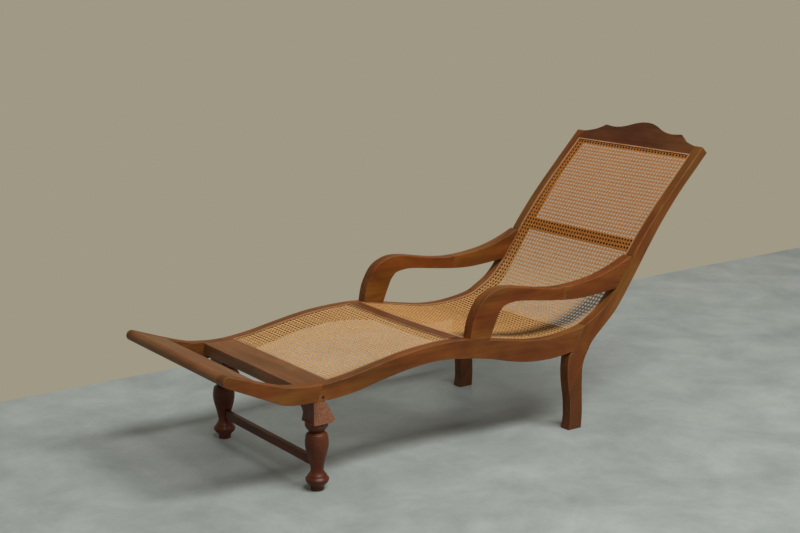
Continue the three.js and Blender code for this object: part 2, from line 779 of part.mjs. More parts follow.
// A flat slat with a rebate along both edges, hollowed towards its middle.
function middleRail() {
  const [front, rear] = [frameAt(MIDDLE_RAIL_Y), frameAt(MIDDLE_RAIL_END)];
  const innerFront = frameAt(MIDDLE_RAIL_Y + REBATE_WIDTH);
  const innerRear = frameAt(MIDDLE_RAIL_END - REBATE_WIDTH);
  const outline = [
    below(front, REBATE_DEPTH),
    below(innerFront, REBATE_DEPTH),
    below(innerFront, 0),
    below(innerRear, 0),
    below(innerRear, REBATE_DEPTH),
    below(rear, REBATE_DEPTH),
    below(rear, MIDDLE_RAIL_THICKNESS),
    below(front, MIDDLE_RAIL_THICKNESS),
  ];
  const slat = slabGeometry(outline, JOINT_GAP - INNER_X, INNER_X - JOINT_GAP, ACROSS_STEPS);
  return withTenons(solid(hollowed(slat, MIDDLE_HOLLOW)), middleRailTenon);
}

// An upright board between the rear legs, close under the seat's cane and hollowed with it.
function seatCrossRail() {
  const [front, rear] = around(SEAT_RAIL_FRAME.y, SEAT_RAIL_THICKNESS);
  const top = SEAT_RAIL_FRAME.z - SEAT_RAIL_DROP;
  const bottom = top - SEAT_RAIL_WIDTH;
  const outline = [
    [front, top],
    [rear, top],
    [rear, bottom],
    [front, bottom],
  ];
  const board = slabGeometry(outline, JOINT_GAP - INNER_X, INNER_X - JOINT_GAP, ACROSS_STEPS);
  return withTenons(solid(hollowed(board, SEAT_RAIL_HOLLOW)), seatRailTenon);
}

function backCrossRail() {
  const across = [JOINT_GAP - INNER_X, INNER_X - JOINT_GAP];
  const down = [BACK_RAIL_SETBACK, BACK_RAIL_SETBACK + BACK_RAIL_THICKNESS];
  return withTenons(boxAt(BACK_RAIL_FRAME, across, around(0, BACK_RAIL_WIDTH), down), backRailTenon);
}

// The scalloped top edge of the crest's left half, from the centre out, in its own plane.
function crestEdge() {
  const half = INNER_X - JOINT_GAP;
  const place = ([reach, height]) => [reach * half, height * CREST_HEIGHT];
  const crown = smoothEdge(CREST_CROWN_SHARES.map(place));
  const shoulder = smoothEdge([...CREST_SHOULDER_SHARES.map(place), [half, CREST_SHOULDER]]);
  return [...crown, ...shoulder];
}

function crestRail() {
  const half = INNER_X - JOINT_GAP;
  const left = crestEdge();
  const right = left.slice(1).map(([x, height]) => [-x, height]);
  const outline = [...right.reverse(), ...left, [half, 0], [-half, 0]];
  const shape = new THREE.Shape(outline.map(([x, height]) => new THREE.Vector2(x, height)));
  const geometry = new THREE.ExtrudeGeometry(shape, { depth: CREST_THICKNESS, bevelEnabled: false });
  geometry.translate(0, 0, -CREST_THICKNESS);
  geometry.rotateX(CREST_FRAME.slope);
  geometry.translate(0, CREST_FRAME.y, CREST_FRAME.z);
  const rebate = boxAt(CREST_FRAME, [-OUTER_X, OUTER_X], [-OVERRUN, REBATE_WIDTH], [-OVERRUN, REBATE_DEPTH]);
  return withTenons(solid(geometry).subtract(rebate), crestTenon);
}

function stretcher(clearance = 0) {
  const reach = FRONT_LEG_X - STRETCHER_STOP;
  const frame = { y: FRONT_LEG_Y, z: STRETCHER_HEIGHT, slope: 0 };
  const along = around(0, STRETCHER_THICKNESS);
  return boxAt(frame, [-reach, reach], along, [-STRETCHER_DEPTH, 0], clearance);
}

// Cane

// The edges of a row of evenly spaced openings between two places.
function openingEdges([start, end], count) {
  const pitch = (end - start) / count;
  const margin = (pitch * (1 - CANE_OPEN_SHARE)) / 2;
  const edges = (_, i) => [start + pitch * i + margin, start + pitch * (i + 1) - margin];
  return Array.from({ length: count }, edges).flat();
}

// Says of each cell between two lines of a grid whether it lies in an opening.
function openCells(lines, edges) {
  return lines.slice(1).map((line) => edges.filter((edge) => edge < line).length % 2 === 1);
}

// The frames of the seat line where chords along it miss it by more than half of the gap round a sheet.
function missedBends(chords) {
  return stretch(chords[0].y, chords.at(-1).y).filter((frame) => {
    const after = chords.findIndex((end) => end.run > frame.run);
    if (after < 1) {
      return false;
    }
    const [a, b] = [chords[after - 1], chords[after]];
    const across = (b.y - a.y) * (frame.z - a.z) - (b.z - a.z) * (frame.y - a.y);
    return Math.abs(across) / Math.hypot(b.y - a.y, b.z - a.z) > JOINT_GAP / 2;
  });
}

// A thin sheet through a grid of points, a row of [top, underside] points for each line of the grid.
// A cell is open where both its column and its row are.
function grating(grid, openColumns, openRows) {
  const rows = openRows.length;
  const columns = openColumns.length;
  const filled = (c, r) => c >= 0 && r >= 0 && c < columns && r < rows && !(openColumns[c] && openRows[r]);
  const top = (c, r) => 2 * (r * (columns + 1) + c);
  const index = [];
  const quad = (a, b, c, d) => index.push(a, b, c, a, c, d);
  for (let r = 0; r < rows; r += 1) {
    for (let c = 0; c < columns; c += 1) {
      if (!filled(c, r)) {
        continue;
      }
      const corners = [top(c, r), top(c + 1, r), top(c + 1, r + 1), top(c, r + 1)];
      const beside = [filled(c, r - 1), filled(c + 1, r), filled(c, r + 1), filled(c - 1, r)];
      quad(...corners);
      quad(...corners.map((corner) => corner + 1).reverse());
      corners.forEach((corner, i) => {
        const next = corners[(i + 1) % corners.length];
        if (!beside[i]) {
          quad(corner + 1, next + 1, next, corner);
        }
      });
    }
  }
  const geometry = new THREE.BufferGeometry();
  geometry.setAttribute("position", new THREE.Float32BufferAttribute(grid.flat(Infinity), 3));
  geometry.setIndex(index);
  return solid(geometry);
}

// A panel's sheet under the seat line from y0 to y1, which sags in the opening between its rebates.
// hollow gives how far its first and last end are hollowed.
function caneSheet(y0, y1, hollow) {
  const opening = [frameAt(y0 + REBATE_WIDTH).run, frameAt(y1 - REBATE_WIDTH).run];
  const pitch = (2 * INNER_X) / CANE_OPENINGS;
  const alongEdges = openingEdges(opening, Math.round((opening[1] - opening[0]) / pitch));
  const chords = [frameAt(y0), ...alongEdges.map((run) => frameWhere("run", run)), frameAt(y1)];
  const line = [...chords, ...missedBends(chords)].sort((a, b) => a.run - b.run);
  const side = INNER_X + REBATE_WIDTH - JOINT_GAP;
  const acrossEdges = openingEdges([-INNER_X, INNER_X], CANE_OPENINGS);
  const across = [-side, -INNER_X, ...acrossEdges, INNER_X, side];
  const top = BINDER_SINK + BINDER_THICKNESS + JOINT_GAP;
  const grid = line.map((frame) => {
    const along = THREE.MathUtils.clamp(THREE.MathUtils.inverseLerp(...opening, frame.run), 0, 1);
    return across.map((x) => {
      const sag = sagAt(x, CANE_SAG * Math.sin(Math.PI * along));
      const dip = sagAt(x, THREE.MathUtils.lerp(...hollow, along));
      return [top, top + CANE_THICKNESS].map((depth) => {
        const [y, z] = below(frame, depth + sag);
        return [x, y, z - dip];
      });
    });
  });
  return grating(grid, openCells(across, acrossEdges), openCells(line.map((frame) => frame.run), alongEdges));
}

function footCane() {
  const start = FOOT_BOARD_END - REBATE_WIDTH + JOINT_GAP;
  return caneSheet(start, MIDDLE_RAIL_Y + REBATE_WIDTH - JOINT_GAP, [0, MIDDLE_HOLLOW]);
}

function backCane() {
  const start = MIDDLE_RAIL_END - REBATE_WIDTH + JOINT_GAP;
  return caneSheet(start, backPanelEnd(-JOINT_GAP), [MIDDLE_HOLLOW, 0]);
}

// A binder strip along the left side of a panel.
function sideBinder(y0, y1) {
  const outline = band(stretch(y0 + JOINT_GAP, y1 - JOINT_GAP), BINDER_SINK, BINDER_SINK + BINDER_THICKNESS);
  return slab(outline, INNER_X + JOINT_GAP, INNER_X + JOINT_GAP + BINDER_WIDTH);
}

// A binder strip across a panel, from y0 to y1, hollowed like the piece that it lies on.
function endBinder(y0, y1, hollow) {
  const outline = band([frameAt(y0), frameAt(y1)], BINDER_SINK, BINDER_SINK + BINDER_THICKNESS);
  return solid(hollowed(slabGeometry(outline, -INNER_X, INNER_X, ACROSS_STEPS), hollow));
}

function endBinders() {
  const footStart = FOOT_BOARD_END - REBATE_WIDTH + JOINT_GAP;
  const middleStart = MIDDLE_RAIL_Y + REBATE_WIDTH - JOINT_GAP;
  const middleEnd = MIDDLE_RAIL_END - REBATE_WIDTH + JOINT_GAP;
  const alongCrest = Math.cos(CREST_FRAME.slope) * BINDER_WIDTH;
  return {
    foot_cane_binder_front: endBinder(footStart, footStart + BINDER_WIDTH, 0),
    foot_cane_binder_rear: endBinder(middleStart - BINDER_WIDTH, middleStart, MIDDLE_HOLLOW),
    back_cane_binder_front: endBinder(middleEnd, middleEnd + BINDER_WIDTH, MIDDLE_HOLLOW),
    back_cane_binder_top: endBinder(backPanelEnd(-JOINT_GAP) - alongCrest, backPanelEnd(-JOINT_GAP), 0),
  };
}

// Materials

function wood(color, roughness) {
  return new THREE.MeshStandardMaterial({ color, roughness, metalness: 0 });
}

const railWood = wood(0x6b3f1f, 0.42);
const armWood = wood(0x734621, 0.4);
const turnedWood = wood(0x4d2a1b, 0.35);
const boardWood = wood(0x7a5033, 0.5);
const crestWood = wood(0x552d1a, 0.4);
const pegWood = wood(0x3d2618, 0.6);
const caneStrand = wood(0xb98f62, 0.55);
const binderStrand = wood(0xd2a878, 0.5);

// Assembly

function piece(name, body, material) {
  const mesh = new THREE.Mesh(geometryOf(body), material);
  mesh.name = name;
  return mesh;
}

// Pieces that both sides have, made for the left side.
function sidePieces() {
  const pieces = {
    side_rail_foot: [sideRailFoot(), railWood],
    side_rail_seat: [sideRailSeat(), railWood],
    back_post: [backPost(), railWood],
    arm_front: [armFront(), armWood],
    arm_rear: [armRear(), armWood],
    front_leg: [frontLeg(), turnedWood],
    leg_peg: [legPeg(), pegWood],
    foot_cane_binder: [
      sideBinder(FOOT_BOARD_END - REBATE_WIDTH, MIDDLE_RAIL_Y + REBATE_WIDTH),
      binderStrand,
    ],
    back_cane_binder: [
      sideBinder(MIDDLE_RAIL_END - REBATE_WIDTH, backPanelEnd()),
      binderStrand,
    ],
  };
  for (const [name, [y, z]] of Object.entries(DOWELS)) {
    pieces[name] = [dowel(y, z), pegWood];
  }
  return pieces;
}

function sideGroup(pieces, side) {
  const group = new THREE.Group();
  for (const [name, [body, material]] of Object.entries(pieces)) {
    group.add(piece(name + "_" + side, body, material));
  }
  group.scale.x = side === "left" ? 1 : -1;
  return group;
}

function crossGroup() {
  const group = new THREE.Group();
  group.add(piece("foot_bar", footBar(), boardWood));
  group.add(piece("foot_board", footBoard(), boardWood));
  group.add(piece("middle_rail", middleRail(), boardWood));
  group.add(piece("seat_cross_rail", seatCrossRail(), railWood));
  group.add(piece("back_cross_rail", backCrossRail(), railWood));
  group.add(piece("crest_rail", crestRail(), crestWood));
  group.add(piece("front_stretcher", stretcher(), turnedWood));
  group.add(piece("foot_cane", footCane(), caneStrand));
  group.add(piece("back_cane", backCane(), caneStrand));
  for (const [name, body] of Object.entries(endBinders())) {
    group.add(piece(name, body, binderStrand));
  }
  return group;
}

// The chair, set with the middle of its box over the origin and its feet on the floor.
const chair = new THREE.Group();
const pieces = sidePieces();
chair.add(sideGroup(pieces, "left"), sideGroup(pieces, "right"), crossGroup());
const box = new THREE.Box3().setFromObject(chair);
const middle = box.getCenter(new THREE.Vector3());
chair.position.set(-middle.x, -middle.y, -box.min.z);

export default chair;
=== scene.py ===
"""The looks of a caned planters chair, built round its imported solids.

Lengths are in metres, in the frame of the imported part: +X is the sitter's left, +Y runs from the foot
end to the back, and +Z is up.
"""

import logging
import math
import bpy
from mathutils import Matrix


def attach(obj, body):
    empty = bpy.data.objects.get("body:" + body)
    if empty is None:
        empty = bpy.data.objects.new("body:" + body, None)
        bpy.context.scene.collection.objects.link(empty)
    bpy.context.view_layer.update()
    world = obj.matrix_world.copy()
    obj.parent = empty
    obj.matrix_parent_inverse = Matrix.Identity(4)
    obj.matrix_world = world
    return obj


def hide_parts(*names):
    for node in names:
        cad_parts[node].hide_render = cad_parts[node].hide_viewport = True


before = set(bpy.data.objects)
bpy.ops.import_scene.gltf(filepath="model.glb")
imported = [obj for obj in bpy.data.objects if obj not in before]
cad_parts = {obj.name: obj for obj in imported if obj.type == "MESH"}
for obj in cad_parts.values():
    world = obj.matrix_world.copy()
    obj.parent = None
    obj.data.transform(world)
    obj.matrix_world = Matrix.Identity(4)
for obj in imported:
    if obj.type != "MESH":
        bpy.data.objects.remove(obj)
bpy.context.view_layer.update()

import zlib
from collections.abc import Iterable, Sequence
from dataclasses import dataclass
from enum import Enum

import bmesh
import bpy
import numpy as np
from mathutils import Vector
from mathutils.bvhtree import BVHTree

log = logging.getLogger("planters_chair")

Pair = tuple[float, float]
Triple = tuple[float, float, float]
Colour = tuple[float, float, float, float]
Socket = bpy.types.NodeSocket

BODY = "root"
SIDES = ("left", "right")

# The mesh values that the materials read
WORN = "worn"
PLANK = "plank"
STRAND = "strand"

# How far apart strands with the shares 0 and 1 lie in the cane's pattern
SHARE_SPREAD = 7.0

# A screen's curve from a colour's number to its light: straight up to the toe, and then a power
SCREEN_TOE = 0.04045
SCREEN_SLOPE = 12.92
SCREEN_OFFSET = 0.055
SCREEN_POWER = 2.4


def colour(red: int, green: int, blue: int) -> Colour:
    """Turns a colour as a screen shows it into the linear one that a shader takes.

    Args:
        red: Red from 0 to 255.
        green: Green from 0 to 255.
        blue: Blue from 0 to 255.

    Returns:
        Linear red, green, blue and an alpha of 1.
    """
    linear = []
    for share in (red / 255, green / 255, blue / 255):
        power = ((share + SCREEN_OFFSET) / (1 + SCREEN_OFFSET)) ** SCREEN_POWER
        linear.append(share / SCREEN_SLOPE if share <= SCREEN_TOE else power)
    return (*linear, 1.0)


def share_of(name: str) -> float:
    """Gives a name its own fixed share from 0 to 1, so that no two planks look alike."""
    return zlib.crc32(name.encode()) / 0xFFFFFFFF


@dataclass(frozen=True)
class Clouds:
    """A cloudy pattern: the size of its clouds along each axis, and how fine and how bent they are."""

    size: Triple
    detail: float
    roughness: float
    bend: float = 0.0


class Nodes:
    """A tree of shader nodes."""

    def __init__(self, tree: bpy.types.NodeTree) -> None:
        """Takes the tree of a material or a world, and empties it."""
        self.tree = tree
        self.tree.nodes.clear()

    def node(self, kind: str, inputs: dict | None = None, **settings: object) -> bpy.types.Node:
        """Adds a node.

        Args:
            kind: Blender's name of the node type.
            inputs: Values or sockets by the name or number of the input they go to.
            settings: Properties of the node.

        Returns:
            The new node.
        """
        made = self.tree.nodes.new(kind)
        for key, value in settings.items():
            setattr(made, key, value)
        for key, value in (inputs or {}).items():
            self.feed(made, key, value)
        return made

    def feed(self, node: bpy.types.Node, key: str | int, value: object) -> None:
        """Gives an input of a node a value, or joins a socket to it.

        Args:
            node: The node.
            key: The input's name or number.
            value: The value or the socket.
        """
        if isinstance(value, bpy.types.NodeSocket):
            self.tree.links.new(value, node.inputs[key])
        else:
            node.inputs[key].default_value = value

    def combine(self, operation: str, first: object, second: object) -> Socket:
        """Combines two values by the operation of that name."""
        return self.node("ShaderNodeMath", {0: first, 1: second}, operation=operation).outputs[0]

    def times(self, first: object, second: object) -> Socket:
        """Multiplies two values."""
        return self.combine("MULTIPLY", first, second)

    def plus(self, first: object, second: object) -> Socket:
        """Adds two values."""
        return self.combine("ADD", first, second)

    def larger(self, first: object, second: object) -> Socket:
        """Gives the larger of two values."""
        return self.combine("MAXIMUM", first, second)


class Shader(Nodes):
    """A material and its nodes."""

    # Where the mixing node has its share and its colours
    MIX_SHARE, MIX_LOW, MIX_HIGH, MIX_RESULT = 0, 6, 7, 2

    def __init__(self, name: str) -> None:
        """Makes a material with a bare surface.

        Args:
            name: What the material is called.
        """
        self.material = bpy.data.materials.new(name)
        self.material.use_nodes = True
        super().__init__(self.material.node_tree)
        self.surface = self.node("ShaderNodeBsdfPrincipled")
        self.node("ShaderNodeOutputMaterial", {"Surface": self.surface.outputs["BSDF"]})

    def feed_surface(self, values: dict[str, object]) -> None:
        """Gives the surface its values or sockets, by the names of its inputs."""
        for name, value in values.items():
            self.feed(self.surface, name, value)

    def object_place(self) -> Socket:
        """Gives the coordinates in the frame of the chair."""
        return self.node("ShaderNodeTexCoord").outputs["Object"]

    def upward(self, place: Socket) -> Socket:
        """Gives the third coordinate of a place."""
        return self.node("ShaderNodeSeparateXYZ", {0: place}).outputs["Z"]

    def attribute(self, name: str, output: str = "Fac") -> Socket:
        """Reads a value kept in the mesh."""
        return self.node("ShaderNodeAttribute", attribute_name=name).outputs[output]

    def mix(self, share: object, low: object, high: object, blend: str = "MIX") -> Socket:
        """Mixes two colours.

        Args:
            share: How much of the second colour there is.
            low: The first colour.
            high: The second colour.
            blend: Blender's name of the way they mix.

        Returns:
            The mixed colour's socket.
        """
        inputs = {self.MIX_SHARE: share, self.MIX_LOW: low, self.MIX_HIGH: high}
        made = self.node("ShaderNodeMix", inputs, data_type="RGBA", blend_type=blend)
        return made.outputs[self.MIX_RESULT]

    def tint(self, share: object, base: object, tone: object) -> Socket:
        """Multiplies a colour with a share of another one."""
        return self.mix(share, base, tone, "MULTIPLY")

    def ramp(self, value: Socket, stops: Sequence[float], tones: Sequence[Colour]) -> Socket:
        """Turns a value into a colour.

        Args:
            value: The value's socket.
            stops: Places from 0 to 1.
            tones: The colour at each.

        Returns:
            The colour's socket.
        """
        made = self.node("ShaderNodeValToRGB", {"Fac": value})
        elements = made.color_ramp.elements
        for stop in stops[1:-1]:
            elements.new(stop)
        for element, stop, tone in zip(elements, stops, tones):
            element.position = stop
            element.color = tone
        return made.outputs["Color"]

    def span(self, value: Socket, band: Pair, to_low: float = 0.0, to_high: float = 1.0) -> Socket:
        """Maps a band of a value smoothly to another range and stops at its ends.

        Args:
            value: The value's socket.
            band: The band's ends.
            to_low: The result at its first end.
            to_high: The result at its second end.

        Returns:
            The result's socket.
        """
        low, high = band
        inputs = {"Value": value, "From Min": low, "From Max": high, "To Min": to_low, "To Max": to_high}
        return self.node("ShaderNodeMapRange", inputs, interpolation_type="SMOOTHSTEP").outputs["Result"]

    def clouds(self, place: Socket, pattern: Clouds, turn: Triple = (0.0, 0.0, 0.0)) -> Socket:
        """Adds a cloudy pattern.

        Args:
            place: The coordinates' socket.
            pattern: The pattern.
            turn: The turn of its axes in radians.

        Returns:
            A value from 0 to 1.
        """
        scaled = {"Vector": place, "Rotation": turn, "Scale": pattern.size}
        noise = {
            "Vector": self.node("ShaderNodeMapping", scaled, vector_type="TEXTURE").outputs["Vector"],
            "Scale": 1.0,
            "Detail": pattern.detail,
            "Roughness": pattern.roughness,
            "Distortion": pattern.bend,
        }
        return self.node("ShaderNodeTexNoise", noise).outputs["Fac"]

    def bump(self, height: Socket, strength: float, depth: float) -> None:
        """Raises the surface by a height."""
        inputs = {"Height": height, "Strength": strength, "Distance": depth}
        self.feed_surface({"Normal": self.node("ShaderNodeBump", inputs).outputs["Normal"]})


class Grain(Enum):
    """Which way a plank's grain runs, as the turn that takes X to it."""

    ACROSS = (0.0, 0.0, 0.0)
    ALONG = (0.0, 0.0, math.radians(90))
    RAKED = (0.0, math.radians(-55), math.radians(90))
    UPRIGHT = (0.0, math.radians(-90), 0.0)


@dataclass(frozen=True)
class WoodMarks:
    """The marks that every oiled plank has. A pattern's first size lies along the grain."""

    plank_shift: float = 9.0
    streak: Clouds = Clouds((0.4, 0.011, 0.011), 5.0, 0.6, 0.25)
    figure: Clouds = Clouds((0.5, 0.06, 0.06), 3.0, 0.5, 0.8)
    patch: Clouds = Clouds((0.16, 0.07, 0.07), 3.0, 0.55, 0.6)
    patch_share: float = 0.4
    grain_share: float = 0.6
    tone_stops: Triple = (0.38, 0.5, 0.62)
    stain: Clouds = Clouds((0.3, 0.11, 0.11), 2.0, 0.5, 0.4)
    stain_stops: Pair = (0.4, 0.6)
    red: Colour = colour(255, 238, 226)
    olive: Colour = colour(244, 255, 240)
    fibre: Clouds = Clouds((0.05, 0.0013, 0.0013), 3.0, 0.6)
    fibre_stops: Pair = (0.3, 0.7)
    fibre_dark: Colour = colour(214, 208, 202)
    fibre_light: Colour = colour(255, 255, 255)
    fibre_depth: float = 0.45
    fibre_rise: float = 0.6
    pore: Clouds = Clouds((0.006, 0.0005, 0.0005), 1.0, 0.5)
    pore_band: Pair = (0.62, 0.72)
    pore_depth: float = 0.3
    pore_rise: float = -0.8
    # Grime and painted shade: the dark colour that low parts take towards the floor
    grime_and_shade_tone: Colour = colour(40, 28, 22)
    scuff_width: float = 0.006
    scuff_detail: float = 4.0
    scuff_roughness: float = 0.65
    scuff_band: Pair = (0.36, 0.62)
    handled: Clouds = Clouds((0.2, 0.2, 0.2), 1.0, 0.5)
    handled_band: Pair = (0.42, 0.6)
    handled_least: float = 0.35
    polish_band: Pair = (0.3, 0.7)
    duller: float = 0.06
    glossier: float = 0.05
    rubbed_duller: float = 0.08
    coat_roughness: float = 0.3
    bump_strength: float = 0.35
    bump_depth: float = 0.0003


@dataclass(frozen=True)
class WoodFinish:
    """An oiled and worn hardwood surface."""

    name: str
    slot: str
    dark: Colour
    middle: Colour
    light: Colour
    worn: Colour
    roughness: float
    wear: float
    coat: float = 0.0
    shine: float = 0.2
    streaks: float = 0.2
    scuff_length: float = 0.03
    scuff_least: float = 0.25
    # Grime and painted shade towards the floor: how strong it is, and how high it reaches
    grime_and_shade: float = 0.0
    grime_and_shade_height: float = 0.3
    marks: WoodMarks = WoodMarks()

    def material(self, grain: Grain) -> bpy.types.Material:
        """Makes the finish for one direction of the grain."""
        return WoodShader(self, grain).material


class WoodShader(Shader):
    """The material of one wood finish with its grain running one way."""

    def __init__(self, finish: WoodFinish, grain: Grain) -> None:
        """Makes the material.

        Args:
            finish: The finish.
            grain: Which way the grain runs.
        """
        super().__init__(f"{finish.name}_{grain.name.lower()}")
        self.finish = finish
        self.marks = finish.marks
        self.turn = grain.value
        self.place = self.object_place()
        shift = self.times(self.attribute(PLANK), self.marks.plank_shift)
        own = self.node("ShaderNodeCombineXYZ", {axis: shift for axis in "XYZ"}).outputs["Vector"]
        moved = self.node("ShaderNodeVectorMath", {0: self.place, 1: own}, operation="ADD")
        self.spot = moved.outputs["Vector"]
        self.streak = self.mark(self.marks.streak)
        self.fibre = self.mark(self.marks.fibre)
        self.pores = self.span(self.mark(self.marks.pore), self.marks.pore_band)
        self.rubbed = self.rubbing()
        wood = self.grimed_and_shaded(self.grained(self.stained(self.toned())))
        wood = self.mix(self.times(self.rubbed, finish.wear), wood, finish.worn)
        self.feed_surface({
            "Base Color": wood,
            "Roughness": self.polish(),
            "Specular IOR Level": finish.shine,
            "Coat Weight": finish.coat,
            "Coat Roughness": self.marks.coat_roughness,
        })
        fibres = self.times(self.fibre, self.marks.fibre_rise)
        relief = self.plus(fibres, self.times(self.pores, self.marks.pore_rise))
        self.bump(relief, self.marks.bump_strength, self.marks.bump_depth)

    def mark(self, pattern: Clouds) -> Socket:
        """Adds a pattern that lies with the grain."""
        return self.clouds(self.spot, pattern, self.turn)

    def toned(self) -> Socket:
        """Gives the plank's colour, from dark to light, by its streaks, its figure and its patches."""
        marks, finish = self.marks, self.finish
        patches = self.times(self.mark(marks.patch), marks.patch_share)
        figure = self.times(self.mark(marks.figure), marks.grain_share - finish.streaks)
        tone = self.plus(self.plus(self.times(self.streak, finish.streaks), patches), figure)
        return self.ramp(tone, marks.tone_stops, (finish.dark, finish.middle, finish.light))

    def stained(self, wood: Socket) -> Socket:
        """Turns a colour here and there to red or to olive."""
        marks = self.marks
        stain = self.ramp(self.mark(marks.stain), marks.stain_stops, (marks.red, marks.olive))
        return self.tint(1.0, wood, stain)

    def grained(self, wood: Socket) -> Socket:
        """Draws the fibres and the pores.

        Args:
            wood: The colour below them.

        Returns:
            The new colour.
        """
        marks = self.marks
        fibres = self.ramp(self.fibre, marks.fibre_stops, (marks.fibre_dark, marks.fibre_light))
        wood = self.tint(marks.fibre_depth, wood, fibres)
        return self.mix(self.times(self.pores, marks.pore_depth), wood, self.finish.dark)

    def grimed_and_shaded(self, wood: Socket) -> Socket:
        """Darkens a colour towards the floor: part grime, part painted shade."""
        # Painted shade and grime: darker the nearer the floor
        grime_and_shade = self.span(self.upward(self.place), (0.0, self.finish.grime_and_shade_height), self.finish.grime_and_shade, 0.0)
        return self.mix(grime_and_shade, wood, self.marks.grime_and_shade_tone)

    def rubbing(self) -> Socket:
        """Says how far the oil is rubbed off.

        Returns:
            A share that follows the wear kept in the mesh, and breaks up into scuffs.
        """
        marks, finish = self.marks, self.finish
        size = (finish.scuff_length, marks.scuff_width, marks.scuff_width)
        scuffs = self.mark(Clouds(size, marks.scuff_detail, marks.scuff_roughness))
        scuffed = self.span(scuffs, marks.scuff_band, finish.scuff_least, 1.0)
        handled = self.span(self.mark(marks.handled), marks.handled_band, marks.handled_least, 1.0)
        return self.times(self.times(self.attribute(WORN), scuffed), handled)

    def polish(self) -> Socket:
        """Gives the roughness, which is less in light streaks and more where the wood is rubbed."""
        marks, roughness = self.marks, self.finish.roughness
        dull, glossy = roughness + marks.duller, roughness - marks.glossier
        polish = self.span(self.streak, marks.polish_band, dull, glossy)
        return self.plus(polish, self.times(self.rubbed, marks.rubbed_duller))


@dataclass(frozen=True)
class CaneMarks:
    """The marks that every strand has. A pattern's sizes lie along the strand, across it and through it."""

    drift: Clouds = Clouds((0.09, 0.05, 1.0), 3.0, 0.6)
    drift_share: float = 0.7
    fibre: Clouds = Clouds((0.012, 0.0006, 0.0004), 2.0, 0.6)
    fibre_share: float = 0.3
    tone_stops: Pair = (0.34, 0.62)
    knot: Clouds = Clouds((0.0045, 0.021, 1.0), 0.0, 0.5)
    knot_band: Pair = (0.74, 0.82)
    knot_depth: float = 0.55
    # Painted shade low in the weave: its colour, and the levels between which it fades
    weave_shade: Colour = colour(150, 128, 108)
    weave_shade_levels: Pair = (-0.9, 0.9)
    back_heights: Pair = (0.36, 0.6)
    polish_band: Pair = (0.3, 0.7)
    duller: float = 0.12
    bump_strength: float = 0.3
    bump_depth: float = 0.0001


@dataclass(frozen=True)
class CaneFinish:
    """A split cane surface. The mesh keeps each point's run along its strand, its share and its level."""

    name: str
    slot: str
    dark: Colour
    light: Colour
    joint: Colour
    roughness: float
    # How strong the painted shade low in the weave is
    weave_shading: float = 0.0
    # Darker and redder up the back: part ageing where a sitter leans, part painted shade
    sat_on: float = 0.0
    back_age_and_shade: float = 0.0
    aged_and_shaded: Colour = colour(228, 186, 122)
    shine: float = 0.5
    marks: CaneMarks = CaneMarks()

    def material(self) -> bpy.types.Material:
        """Makes the finish, which has painted shade low in the weave, and is darker and redder up the back,
        part ageing where a sitter leans on it and part painted shade.

        Returns:
            The material.
        """
        marks = self.marks
        shader = Shader(self.name)
        run = shader.attribute(STRAND, "Vector")
        drift = shader.clouds(run, marks.drift)
        fibre = shader.clouds(run, marks.fibre)
        knot = shader.clouds(run, marks.knot)
        tone = shader.plus(shader.times(drift, marks.drift_share), shader.times(fibre, marks.fibre_share))
        cane = shader.ramp(tone, marks.tone_stops, (self.dark, self.light))
        cane = shader.mix(shader.span(knot, marks.knot_band, 0.0, marks.knot_depth), cane, self.joint)
        # Painted shade: a strand is darker the lower it lies in the weave
        weave_shade = shader.span(shader.upward(run), marks.weave_shade_levels, self.weave_shading, 0.0)
        cane = shader.tint(weave_shade, cane, marks.weave_shade)
        # Part ageing, part painted shade: the cane turns darker and redder up the back
        height = shader.upward(shader.object_place())
        age_and_shade = shader.span(height, marks.back_heights, self.sat_on, self.back_age_and_shade)
        cane = shader.tint(age_and_shade, cane, self.aged_and_shaded)
        dull = shader.span(fibre, marks.polish_band, self.roughness, self.roughness + marks.duller)
        shader.feed_surface({"Base Color": cane, "Specular IOR Level": self.shine, "Roughness": dull})
        shader.bump(fibre, marks.bump_strength, marks.bump_depth)
        return shader.material


@dataclass(frozen=True)
class FloorFinish:
    """Plain pale concrete with faint clouds."""

    name: str = "floor_concrete"
    clouds: Clouds = Clouds((0.34, 0.34, 0.34), 9.0, 0.7, 0.3)
    stops: Pair = (0.3, 0.7)
    dark: Colour = colour(140, 147, 143)
    light: Colour = colour(174, 180, 175)
    roughness: float = 0.55

    def material(self) -> bpy.types.Material:
        """Makes the finish.

        Returns:
            The material.
        """
        shader = Shader(self.name)
        cloud = shader.clouds(shader.object_place(), self.clouds)
        pale = shader.ramp(cloud, self.stops, (self.dark, self.light))
        shader.feed_surface({"Base Color": pale, "Roughness": self.roughness})
        return shader.material


RAIL_WOOD = WoodFinish(
    name="rail_wood", slot="rail_wood", dark=colour(100, 54, 19), middle=colour(122, 70, 26),
    light=colour(140, 86, 37), worn=colour(190, 138, 90), roughness=0.46, wear=0.6, grime_and_shade=0.5,
)
ARM_WOOD = WoodFinish(
    name="arm_wood", slot="arm_wood", dark=colour(98, 49, 13), middle=colour(120, 65, 19),
    light=colour(142, 82, 28), worn=colour(176, 118, 70), roughness=0.42, wear=0.4,
)
TURNED_WOOD = WoodFinish(
    name="turned_wood", slot="turned_wood", dark=colour(70, 31, 15), middle=colour(88, 41, 21),
    light=colour(106, 54, 30), worn=colour(160, 108, 80), roughness=0.4, wear=0.9, coat=0.08,
    streaks=0.12, scuff_length=0.008, scuff_least=0.5,
)
BOARD_WOOD = WoodFinish(
    name="board_wood", slot="board_wood", dark=colour(111, 71, 41), middle=colour(125, 83, 49),
    light=colour(138, 94, 57), worn=colour(178, 138, 100), roughness=0.5, wear=0.5, streaks=0.12,
)
